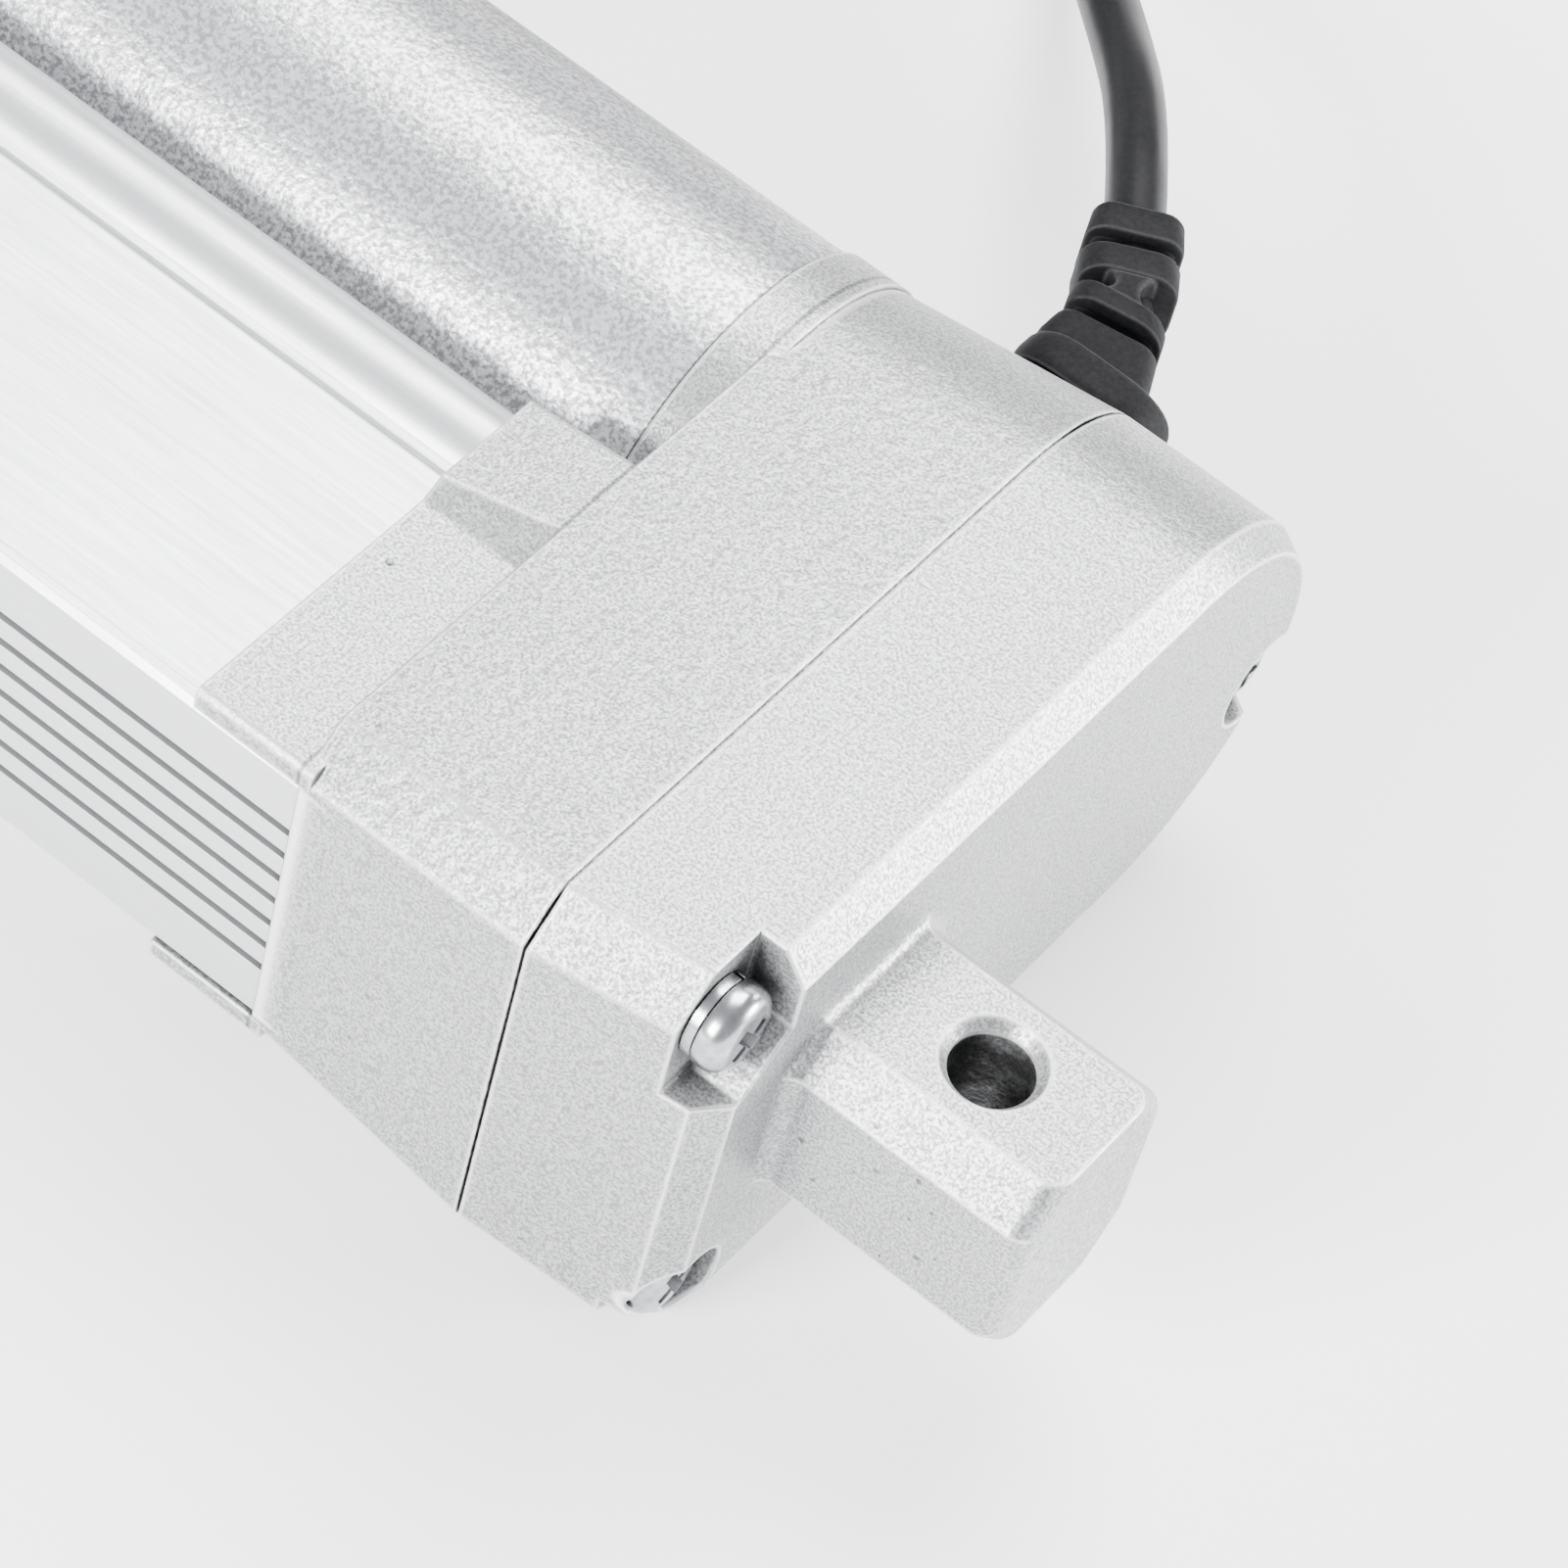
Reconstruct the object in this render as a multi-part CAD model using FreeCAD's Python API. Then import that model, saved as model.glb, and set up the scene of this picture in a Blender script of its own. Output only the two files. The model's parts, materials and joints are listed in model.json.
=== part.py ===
import FreeCAD, Part
import math
import os
from FreeCAD import Vector as V

os.makedirs("parts", exist_ok=True)

# Electric linear actuator, lying on its broad side, rod drawn in.
# X runs along the rod towards its free end, Z is the direction of the pivot holes,
# the motor lies on the -Y side and the origin is the middle of the rear pivot hole.

# Driving sizes, in millimetres
stroke = 100.0
closed_pin_distance_less_stroke = 105.0
pivot_hole = 6.4
pivot_end_distance = 9.8

# Rear pivot lug
lug_half_thickness = 9.6
lug_half_width = 8.6
lug_bevel_wide = 2.9
lug_bevel_deep = 3.5
lug_end_round = 1.6
lug_root_round = 1.4
countersink_radius = 4.0
countersink_depth = 1.0

# Gear case, cover and front half
case_half = 20.0
case_half_front = 17.8
case_side = 20.2
case_side_rear = 18.1
case_side_front = 19.0
case_wall = 3.0
case_bevel_side = 3.6
case_bevel_side_rear = 3.1
case_bevel_top = 4.0
case_bevel_side_front = 4.0
case_bevel_top_front = 3.6
cover_face = 10.7
cover_bevel_long = 2.1
cover_bevel_in = 2.6
cover_bevel_end = 0.9
cover_bevel_low = 1.9
case_edge = 0.6
joint_groove_wide = 0.25
joint_groove_deep = 0.35
cover_floor = 3.6
case_joint = 27.0
case_front = 47.5
chamber_front = 34.0
rim_long = 1.4
rim_thick = 1.2

# Cover screws
screw_radius = 1.8
screw_head_radius = 3.45
screw_head_high = 2.7
screw_seat = 15.1
screw_long = 20.0
screw_boss = 4.3
screw_play = 0.2
end_pocket_radius = 4.2
low_pocket_radius = 3.75
low_pocket_rim = 16.4
corner_pocket_y = 10.2
corner_pocket_z = 9.1
corner_slant_y = 4.8
corner_slant_z = 4.0
corner_screw = (14.4, 14.9)
end_screw = (-53.2, -4.8)
washer_thick = 1.0
washer_radius = 3.4
washer_split = 0.5

# Main tube
tube_side = 18.9
tube_half = 13.6
tube_motor_side = 18.1
tube_lip = 0.8
tube_recess = 0.5
tube_edge = 0.5
ridge_foot = 10.9
ridge_crest_y = 14.7
ridge_crest_z = 15.3
ridge_heel_z = 13.2
tube_wall = 1.6
groove_count = 7
groove_pitch_share = 0.194
groove_wide = 0.8
groove_deep = 0.7
tube_seat_deep = 4.5
key_groove_half = 2.1
key_groove_deep = 1.5
board_room_near = 12.6
board_room_far = 17.0
board_room_share = 0.7
switch_slot_half = 2.4
board_thick = 1.4
switch_high = 3.0
switch_long = 8.0
switch_half = 3.0
plunger_radius = 0.8

# Tongues of the gear case over the main tube
tongue_long = 9.5
tongue_thick = 2.0
tongue_side = 19.1
tongue_ramp_start = 5.3
tongue_ramp_slope = 0.62
tongue_ramp_round = 1.6
tongue_motor_side = 17.7
tongue_edge = 0.7

# Front cap, guide and seal
cap_thick = 6.0
cap_grow = 0.3
guide_long = 12.0
guide_wall = 2.0
seal_long = 3.5
seal_step = 0.5
cap_screw_radius = 1.5
cap_screw_head = 2.75
cap_screw_head_high = 1.9
cap_screw_long = 14.0
cap_screw_in_side = 3.7
cap_screw_in_half = 3.4
cap_screw_in_ridge = 3.3

# Rod and nut
rod_wall = 2.5
rod_shoulder = 8.0
rod_shown = 2.0
rod_plug_long = 12.0
rod_end_bevel = 1.2
cross_pin_radius = 1.5
nut_long = 16.0
nut_spigot = 5.0
nut_start = 58.0
nut_key_half = 1.8
cam_half = 1.9
cam_long = 8.0

# Lead screw and its bearing
thread_radius = 6.0
journal_radius = 5.0
screw_guide_long = 4.5
bearing_wide = 8.0
bearing_ring = 1.9
bearing_step = 1.0
ball_count = 7

# Gears
motor_teeth = 12
wheel_teeth = 50
pinion_teeth = 11
output_teeth = 34
first_module = 0.6
second_module = 0.8
pressure_angle = 25.0
flank_gap = 0.07
wheel_wide = 4.5
output_wide = 10.0
output_hub_radius = 8.0
output_rim = 2.6
output_web_deep = 2.0
tip_share = 0.9
axle_radius = 2.0
motor_shaft_radius = 1.6
motor_pinion_wide = 5.5
retainer_thick = 0.9
retainer_radius = 7.0
retainer_groove_radius = 4.0
gear_key_half = 1.5
gear_key_long = 8.0
gear_key_out = 6.2
gear_key_in = 3.6
axle_boss_radius = 4.0
axle_seat_rear = 2.0
axle_seat_front = 5.0
wheel_inset = 1.2
output_inset = 2.4

# Motor
motor_tube_gap = 0.7
motor_tube_wall = 1.2
motor_tube_end = 141.0
collar_thick = 0.4
collar_long = 3.5
motor_seat = 46.0
can_wall = 1.5
can_end = 126.0
can_front_wall = 2.0
magnet_thick = 2.4
magnet_half_angle = 68.0
core_air_gap = 0.6
core_start = 60.0
core_end = 104.0
core_slots = 8
winding_overhang = 6.5
commutator_radius = 4.5
commutator_start = 112.5
commutator_end = 121.5
brush_long = 5.0
brush_half = 2.0
bell_thick = 5.0
motor_cap_thick = 3.0
motor_screw_offset = 9.0
bush_radius = 4.0
bush_long = 5.0
bush_inset = 2.0
magnet_overhang = 3.0
core_slot_half = 0.9
winding_bore_gap = 1.4
winding_round = 1.6
brush_thick = 6.0
brush_guide_wall = 1.2
cap_skirt = 1.5

# Clearances
fit_gap = 0.05
body_gap = 0.3
thin_gap = 0.1

# Cutting solids run past what they cut by one step, or reach clear of the whole section
past = 1.0
clear = 80.0
same = 1e-6

# Strain relief and cable
cable_radius = 2.5
relief_x = 32.8
relief_z = 2.0
relief_flange_half = 6.65
relief_flange_high = 6.5
relief_flange_thick = 2.1
relief_flange_round = 2.5
relief_plug_radius = 3.2
relief_plug_long = 6.2
relief_slot_wide = 1.5
relief_web_half = 1.7
coil_centre = (116.0, -130.0)
coil_mid_radius = 27.5
coil_layers = 3
tie_thick = 0.5
tie_wide = 4.0
tie_turn = 60.0
wire_radius = 0.9
wire_long = 16.0
wire_apart = 2.4
floor_z = -case_half
coil_floor = floor_z + tie_thick

# Places worked out from the sizes above
rod_pin = stroke + closed_pin_distance_less_stroke
rod_tip = rod_pin + pivot_end_distance
rod_tube_end = rod_pin - rod_shoulder
cap_front = rod_tube_end - rod_shown
cap_rear = cap_front - cap_thick
tube_rear = case_front - tube_seat_deep
guide_rear = cap_rear - guide_long
nut_front = nut_start + nut_long
chamber_rear = cover_face + cover_floor
cover_full = cover_face + cover_bevel_long
wheel_axis = -(output_teeth + pinion_teeth) * second_module / 2
motor_axis = wheel_axis - (wheel_teeth + motor_teeth) * first_module / 2
wheel_rear = chamber_rear + wheel_inset
wheel_front = wheel_rear + wheel_wide
pinion_start = wheel_rear - body_gap
axle_start = chamber_rear - axle_seat_rear
axle_end = chamber_front + axle_seat_front
bush_start = chamber_front + bush_inset
output_rear = wheel_front + output_inset
output_front = output_rear + output_wide
bearing_rear = tube_rear - bearing_wide
screw_tip = nut_front + nut_spigot + stroke + screw_guide_long + 2 * body_gap
tube_bore = tube_half - tube_wall
nut_radius = tube_bore - body_gap
rod_radius = tube_bore - guide_wall
rod_bore = rod_radius - rod_wall
bearing_radius = tube_bore + bearing_step
seal_radius = tube_bore + seal_step
groove_pitch = tube_half * groove_pitch_share
board_room_half = tube_half * board_room_share
nut_key_out = tube_bore + key_groove_deep - body_gap
switch_face = -board_room_far + switch_high
cam_out = -switch_face - body_gap
motor_tube_radius = -motor_axis - tube_motor_side - motor_tube_gap
collar_radius = motor_tube_radius + collar_thick
can_radius = motor_tube_radius - motor_tube_wall - fit_gap
core_radius = can_radius - can_wall - magnet_thick - core_air_gap
winding_radius = core_radius - winding_round


def box(x0, x1, y0, y1, z0, z1):
    """Box between two corners."""
    return Part.makeBox(x1 - x0, y1 - y0, z1 - z0, V(x0, y0, z0))


def rod_x(radius, x0, x1, y=0.0, z=0.0):
    """Round bar along X."""
    return Part.makeCylinder(radius, x1 - x0, V(x0, y, z), V(1, 0, 0))


def ring_x(outer, inner, x0, x1, y=0.0, z=0.0):
    """Round tube along X."""
    return rod_x(outer, x0, x1, y, z).cut(rod_x(inner, x0 - past, x1 + past, y, z))


def prism_x(points, x0, x1):
    """Straight-sided prism along X from (y, z) corners."""
    corners = [V(x0, y, z) for y, z in points]
    face = Part.Face(Part.makePolygon(corners + corners[:1]))
    return face.extrude(V(x1 - x0, 0, 0))


def both(y, z):
    """A place and its mirror image below the middle plane."""
    return ((y, z), (y, -z))


def mirrored(shape):
    """The shape turned over to the other broad side."""
    return shape.mirror(V(0, 0, 0), V(0, 0, 1))


def save(name, shape):
    """Checks one sub-part and writes it."""
    if not shape.isValid():
        print("not valid:", name)
    clean = shape.removeSplitter() if len(shape.Solids) == 1 else shape
    clean.exportStep("parts/" + name + ".step")
    print(name, len(shape.Solids), round(shape.Volume, 1))


def group(shapes):
    """Several like solids kept apart in one sub-part."""
    return Part.makeCompound([s for shape in shapes for s in shape.Solids])


def case_outline(x, side, half, bevel_side, bevel_top, bevel_low, end_shift):
    """Outline across the gear case: bevelled on the tube side, half round on the motor side."""
    centre = motor_axis - end_shift
    low_side = V(x, side, bevel_low - half)
    high_side = V(x, side, half - bevel_top)
    high_in = V(x, side - bevel_side, half)
    low_in = V(x, side - bevel_side, -half)
    high_motor = V(x, centre, half)
    low_motor = V(x, centre, -half)
    end = V(x, centre - half, 0)
    edges = [
        Part.makeLine(low_side, high_side),
        Part.makeLine(high_side, high_in),
        Part.makeLine(high_in, high_motor),
        Part.Arc(high_motor, end, low_motor).toShape(),
        Part.makeLine(low_motor, low_in),
        Part.makeLine(low_in, low_side),
    ]
    return Part.Wire(edges)


def case_loft(stations):
    """Case form through a row of stations, each with the values of one outline."""
    parts = []
    for near, far in zip(stations, stations[1:]):
        wires = [case_outline(*near), case_outline(*far)]
        parts.append(Part.makeLoft(wires, True, True))
    return parts[0].multiFuse(parts[1:]) if len(parts) > 1 else parts[0]


def case_at(x, inset):
    """Station of the case form at x, moved in by an even inset."""
    if x <= case_joint:
        share = (x - cover_full) / (case_joint - cover_full)
        side = case_side_rear + (case_side - case_side_rear) * share
        half = case_half
        bevel_side = case_bevel_side_rear + (case_bevel_side - case_bevel_side_rear) * share
        bevel_top = case_bevel_top
        bevel_low = cover_bevel_low + (case_bevel_top - cover_bevel_low) * share
    else:
        share = (x - case_joint) / (case_front - case_joint)
        side = case_side + (case_side_front - case_side) * share
        half = case_half + (case_half_front - case_half) * share
        bevel_side = case_bevel_side + (case_bevel_side_front - case_bevel_side) * share
        bevel_top = case_bevel_top + (case_bevel_top_front - case_bevel_top) * share
        bevel_low = bevel_top
    return (x, side - inset, half - inset, bevel_side, bevel_top, bevel_low, 0)


def soften_case(body):
    """Small rounds along the lengthwise edges on the tube side."""
    edges = []
    for edge in body.Edges:
        ends = edge.Vertexes
        lengthwise = len(ends) == 2 and abs(ends[0].X - ends[1].X) > 0.5 * cover_bevel_long
        if lengthwise and edge.CenterOfMass.y > 0:
            edges.append(edge)
    return body.makeFillet(case_edge, edges)


def cover_form():
    """Outer form of the rear cover without its lug; the rear bevel narrows towards the motor end."""
    rear = case_at(cover_full, 0)
    side = rear[1] - cover_bevel_in
    half = rear[2] - cover_bevel_in
    face = (cover_face, side, half, *rear[3:6], cover_bevel_in - cover_bevel_end)
    return soften_case(case_loft([face, rear, case_at(case_joint, 0)]))


def front_form():
    """Outer form of the front half without tongues and collar."""
    return soften_case(case_loft([case_at(case_joint, 0), case_at(case_front, 0)]))


def joint_groove():
    """Fine groove along the joint between cover and front half."""
    near = case_joint - joint_groove_wide
    outside = case_loft([case_at(near, -case_wall), case_at(case_joint, -case_wall)])
    inside = case_loft([case_at(near, joint_groove_deep), case_at(case_joint, joint_groove_deep)])
    return outside.cut(inside)


def screw_places():
    """The three cover screws: both tube-side corners and the motor end."""
    return [*both(*corner_screw), end_screw]


def screw_bosses(radius, x0, x1):
    """Round bars on all cover screw axes."""
    bars = [rod_x(radius, x0, x1, y, z) for y, z in screw_places()]
    return bars[0].multiFuse(bars[1:])


def corner_pocket():
    """Pocket for the upper corner screw head, with a slanted inner corner."""
    y, z = corner_pocket_y, corner_pocket_z
    corners = [(y, clear), (y, z + corner_slant_z), (y + corner_slant_y, z), (clear, z), (clear, clear)]
    return prism_x(corners, cover_face - past, screw_seat)


def low_pocket():
    """Pocket for the lower corner screw head, open downwards and to the side."""
    y, z = corner_screw
    bore = rod_x(low_pocket_radius, cover_face - past, screw_seat, y, -z)
    return bore.fuse(box(cover_face - past, screw_seat, y, clear, -clear, -low_pocket_rim))


def lug_section():
    """Corners of the lug section, with all four lengthwise edges bevelled."""
    wide = lug_half_width
    high = lug_half_thickness
    in_wide = wide - lug_bevel_wide
    in_high = high - lug_bevel_deep
    upper = [(wide, in_high), (in_wide, high), (-in_wide, high), (-wide, in_high)]
    return upper + [(y, -z) for y, z in reversed(upper)]


def rear_cover():
    """Die-cast rear cover with pivot lug, screw pockets and a locating rim."""
    lug = prism_x(lug_section(), -pivot_end_distance, cover_face + past)
    ends = [e for e in lug.Edges if all(abs(v.X + pivot_end_distance) < same for v in e.Vertexes)]
    flat_top = [e for e in ends if abs(abs(e.CenterOfMass.z) - lug_half_thickness) < same]
    rounded = [e for e in ends if not any(e.isSame(t) for t in flat_top)]
    lug = lug.makeFillet(lug_end_round, rounded)
    body = cover_form().fuse(lug)
    root = []
    for edge in body.Edges:
        on_face = all(abs(v.X - cover_face) < same for v in edge.Vertexes)
        near = abs(edge.CenterOfMass.y) < lug_half_width + same
        inside = abs(edge.CenterOfMass.z) < lug_half_thickness + same
        if on_face and near and inside:
            root.append(edge)
    body = body.makeFillet(lug_root_round, root)

    room = case_loft([case_at(chamber_rear, case_wall), case_at(case_joint, case_wall)])
    boss = screw_bosses(screw_boss, cover_face, case_joint)
    pocket_back = screw_seat + case_wall
    corner_y = corner_pocket_y - case_wall
    corner_z = corner_pocket_z - case_wall
    end_y, end_z = end_screw
    end_wall = end_pocket_radius + case_wall
    keep = [box(cover_face, pocket_back, corner_y, clear, corner_z, clear)]
    keep.append(mirrored(keep[0]))
    keep.append(box(cover_face, pocket_back, -clear, end_y + end_wall, end_z - end_wall, end_z + end_wall))
    keep.append(rod_x(axle_boss_radius, cover_face, wheel_rear - body_gap, wheel_axis))
    for solid in [boss, *keep]:
        room = room.cut(solid)
    body = body.cut(room)

    rim_root = case_loft([case_at(case_joint - rim_long, 0.9 * case_wall), case_at(case_joint, case_wall + fit_gap)])
    rim_end = case_joint + rim_long
    rim_out = case_loft([case_at(case_joint, case_wall + fit_gap), case_at(rim_end, case_wall + fit_gap)])
    inset = case_wall + rim_thick
    rim_in = case_loft([case_at(case_joint - 2 * rim_long, inset), case_at(rim_end + past, inset)])
    rim = rim_root.fuse(rim_out).cut(rim_in)
    rim = rim.cut(screw_bosses(screw_boss + body_gap, case_joint, rim_end + past))
    body = body.fuse(rim)

    body = body.cut(joint_groove())
    body = body.cut(corner_pocket())
    body = body.cut(low_pocket())
    body = body.cut(rod_x(end_pocket_radius, cover_face - past, screw_seat, *end_screw))
    body = body.cut(screw_bosses(screw_radius + screw_play, cover_face, case_joint + past))
    body = body.cut(rod_x(axle_radius, axle_start, case_joint, wheel_axis))
    for side in (1, -1):
        top = side * lug_half_thickness
        sink = Part.makeCone(countersink_radius, pivot_hole / 2, countersink_depth, V(0, 0, top), V(0, 0, -side))
        body = body.cut(sink)
    return body.cut(Part.makeCylinder(pivot_hole / 2, 4 * lug_half_thickness, V(0, 0, -2 * lug_half_thickness)))


def tube_outline(grow):
    """Outline of the main tube with a rounded ridge on both broad faces beside the motor."""
    side = tube_side + grow
    half = tube_half + grow
    back = -tube_motor_side - grow
    heel = ridge_heel_z
    crest = V(0, -ridge_crest_y, ridge_crest_z + grow)
    foot = V(0, -ridge_foot, half)
    edges = []
    for sign in (1, -1):
        def place(y, z):
            return V(0, y, sign * z)
        edges.append(Part.makeLine(place(side, 0), place(side, half - tube_edge)))
        edges.append(Part.makeLine(place(side, half - tube_edge), place(side - tube_edge, half)))
        edges.append(Part.makeLine(place(side - tube_edge, half), place(foot.y, foot.z)))
        edges.append(Part.Arc(place(foot.y, foot.z), place(crest.y, crest.z), place(back, heel)).toShape())
        edges.append(Part.makeLine(place(back, heel), place(back, 0)))
    return Part.Wire(Part.__sortEdges__(edges))


def tube_form(x0, x1, grow):
    """Solid bar with the outline of the main tube."""
    face = Part.Face(tube_outline(grow))
    return face.extrude(V(x1 - x0, 0, 0)).translated(V(x0, 0, 0))


def outer_tube():
    """Main tube: anodised extrusion with side grooves, recessed broad faces and inner rooms."""
    body = tube_form(tube_rear, cap_rear, 0)
    for sign in (1, -1):
        low, high = sorted((sign * (tube_half - tube_recess), sign * (tube_half + past)))
        recess = box(tube_rear, cap_rear, -ridge_foot + tube_lip, tube_side - tube_edge - tube_lip, low, high)
        body = body.cut(recess)
    first = -(groove_count - 1) / 2 * groove_pitch
    for number in range(groove_count):
        z = first + number * groove_pitch
        half = groove_wide / 2
        body = body.cut(box(tube_rear, cap_rear, tube_side - groove_deep, tube_side + past, z - half, z + half))
    body = body.cut(rod_x(tube_bore, tube_rear, cap_rear))
    body = body.cut(box(tube_rear, cap_rear, 0, tube_bore + key_groove_deep, -key_groove_half, key_groove_half))
    body = body.cut(box(tube_rear, cap_rear, -board_room_far, -board_room_near, -board_room_half, board_room_half))
    body = body.cut(box(tube_rear, cap_rear, -board_room_near - past, 0, -switch_slot_half, switch_slot_half))
    for y, z in cap_screw_holes():
        body = body.cut(rod_x(cap_screw_radius + fit_gap, cap_rear - cap_screw_long, cap_rear, y, z))
    return body


def cap_screw_holes():
    """The four screws of the front cap."""
    near = both(tube_side - cap_screw_in_side, tube_half - cap_screw_in_half)
    far = both(-ridge_crest_y - 0.2, ridge_crest_z - cap_screw_in_ridge)
    return [*near, *far]


def tongue():
    """Upper tongue of the gear case; over the ridge it rises until it runs on from the case."""
    low_top = tube_half + tongue_thick
    high_top = case_half_front
    ramp_end = -tongue_ramp_start - (high_top - low_top) / tongue_ramp_slope
    corners = [
        (tongue_side, 0.5 * tube_half),
        (tongue_side, low_top),
        (-tongue_ramp_start, low_top),
        (ramp_end, high_top),
        (-tongue_motor_side, high_top),
        (-tongue_motor_side, 0.5 * tube_half),
    ]
    start = case_front - past
    end = case_front + tongue_long
    body = prism_x(corners, start, end)
    ramp = []
    for edge in body.Edges:
        y = edge.CenterOfMass.y
        lengthwise = abs(edge.Vertexes[0].X - edge.Vertexes[-1].X) > past
        if lengthwise and min(abs(y + tongue_ramp_start), abs(y - ramp_end)) < same:
            ramp.append(edge)
    body = body.makeFillet(tongue_ramp_round, ramp)
    taper = (case_half - case_half_front) / (case_front - case_joint)
    over = [V(start, -clear, high_top + taper * past), V(end, -clear, high_top - taper * tongue_long)]
    over += [V(end, -clear, clear), V(start, -clear, clear)]
    body = body.cut(Part.Face(Part.makePolygon(over + over[:1])).extrude(V(0, 2 * clear, 0)))
    outer = []
    for edge in body.Edges:
        side = min(abs(edge.CenterOfMass.y - tongue_side), abs(edge.CenterOfMass.y + tongue_motor_side))
        if side < same and edge.CenterOfMass.z > low_top - same:
            outer.append(edge)
    body = body.makeFillet(tongue_edge, outer)
    below = box(start - past, end + past, -clear, clear, -past, tube_half + fit_gap)
    return body.cut(below).cut(tube_form(start - past, end + past, fit_gap))


def gear_housing():
    """Die-cast front half: gear room, bearing seat, tube seat with tongues and the motor socket."""
    body = front_form()
    body = body.fuse(tongue()).fuse(mirrored(tongue()))
    body = body.fuse(rod_x(collar_radius, case_front - past, case_front + collar_long, motor_axis))
    room = case_loft([case_at(case_joint, case_wall), case_at(chamber_front, case_wall)])
    keep = screw_bosses(screw_boss, case_joint, chamber_front)
    body = body.cut(room.cut(keep))
    body = body.cut(rod_x(bearing_radius, bearing_rear, tube_rear))
    body = body.cut(rod_x(bearing_radius - bearing_ring, chamber_front - past, bearing_rear))
    body = body.cut(tube_form(tube_rear, case_front + tongue_long + past, fit_gap))
    body = body.cut(rod_x(motor_tube_radius + fit_gap, motor_seat, case_front + collar_long + past, motor_axis))
    body = body.cut(rod_x(axle_radius, chamber_front - past, axle_end, wheel_axis))
    shaft_room = motor_shaft_radius + 2 * body_gap
    body = body.cut(rod_x(shaft_room, chamber_front - past, motor_seat + past, motor_axis))
    body = body.cut(rod_x(bush_radius, bush_start, bush_start + bush_long, motor_axis))
    for y, z in both(motor_axis, motor_screw_offset):
        body = body.cut(rod_x(cap_screw_radius + fit_gap, chamber_front - past, motor_seat + past, y, z))
    body = body.cut(screw_bosses(screw_radius, case_joint - past, screw_seat + screw_long))
    outside = motor_axis - case_half - relief_flange_thick
    start = V(relief_x, outside, relief_z)
    return body.cut(Part.makeCylinder(relief_plug_radius, 4 * case_wall, start, V(0, 1, 0)))


def pan_screw(head_radius, head_high, radius, length):
    """Pan head screw along X, seat at 0, shank towards +X."""
    head = rod_x(head_radius, -head_high, 0)
    rim = [e for e in head.Edges if abs(e.CenterOfMass.x + head_high) < same and len(e.Vertexes) == 1]
    head = head.makeFillet(0.45 * head_high, rim)
    return head.fuse(rod_x(radius, -0.5 * head_high, length))


def cover_screws():
    """Three pan head screws through the rear cover."""
    one = pan_screw(screw_head_radius, screw_head_high, screw_radius, screw_long)
    seat = screw_seat - washer_thick
    return group([one.translated(V(seat, y, z)) for y, z in screw_places()])


def spring_washers():
    """Split spring washers under the cover screw heads."""
    one = ring_x(washer_radius, screw_radius + screw_play, screw_seat - washer_thick, screw_seat)
    half = washer_split / 2
    gap = box(screw_seat - 2 * washer_thick, screw_seat + past, 0, washer_radius + past, -half, half)
    one = one.cut(gap)
    return group([one.translated(V(0, y, z)) for y, z in screw_places()])


def involute_angle(radius, base):
    """Involute function at a radius outside the base circle."""
    slope = math.acos(min(1.0, base / max(radius, base)))
    return math.tan(slope) - slope


def gear_blank(teeth, module, phase, x0, x1, y):
    """Spur gear with involute flanks; one tooth points at the phase angle, from +Y towards +Z."""
    pitch = teeth * module / 2
    base = pitch * math.cos(math.radians(pressure_angle))
    root = pitch - 1.25 * module
    tip = pitch + tip_share * module
    middle = math.pi / (2 * teeth) - flank_gap / pitch + involute_angle(pitch, base)
    radii = [root, max(base, root + 0.3 * module), pitch, tip]
    points = []
    for number in range(teeth):
        centre = phase + 2 * math.pi * number / teeth
        flank = [(r, middle - involute_angle(r, base)) for r in radii]
        flank[0] = (root, flank[1][1] * 0.94)
        left = [(r, centre - half) for r, half in flank]
        right = [(r, centre + half) for r, half in reversed(flank)]
        points += [(y + r * math.cos(a), r * math.sin(a)) for r, a in left + right]
    return prism_x(points, x0, x1)


def compound_gear():
    """Nylon wheel with a long steel pinion, both turning on a fixed axle."""
    phase = math.pi + math.pi / wheel_teeth
    wheel = gear_blank(wheel_teeth, first_module, phase, wheel_rear, wheel_front, wheel_axis)
    pinion_rear = wheel_front - 0.1 * wheel_wide
    pinion = gear_blank(pinion_teeth, second_module, 0.0, pinion_rear, chamber_front - body_gap, wheel_axis)
    body = wheel.fuse(pinion)
    return body.cut(rod_x(axle_radius + fit_gap, wheel_rear - past, chamber_front, wheel_axis))


def motor_pinion():
    """Steel pinion pressed on the motor shaft."""
    end = pinion_start + motor_pinion_wide
    body = gear_blank(motor_teeth, first_module, 0.0, pinion_start, end, motor_axis)
    return body.cut(rod_x(motor_shaft_radius, pinion_start - past, end + past, motor_axis))


def output_gear():
    """Nylon output gear with hub and keyway on the rear end of the lead screw."""
    phase = math.pi + math.pi / output_teeth
    gear = gear_blank(output_teeth, second_module, phase, output_rear, output_front, 0)
    rim = output_teeth * second_module / 2 - output_rim
    web = ring_x(rim, output_hub_radius, output_rear, output_rear + output_web_deep)
    body = gear.cut(web).fuse(rod_x(output_hub_radius, output_rear, bearing_rear))
    body = body.cut(rod_x(journal_radius, output_rear - past, bearing_rear + past))
    return body.cut(output_key())


def output_key():
    """Key between output gear and lead screw."""
    start = (output_rear + output_front - gear_key_long) / 2
    return box(start, start + gear_key_long, -gear_key_half, gear_key_half, gear_key_in, gear_key_out)


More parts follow.
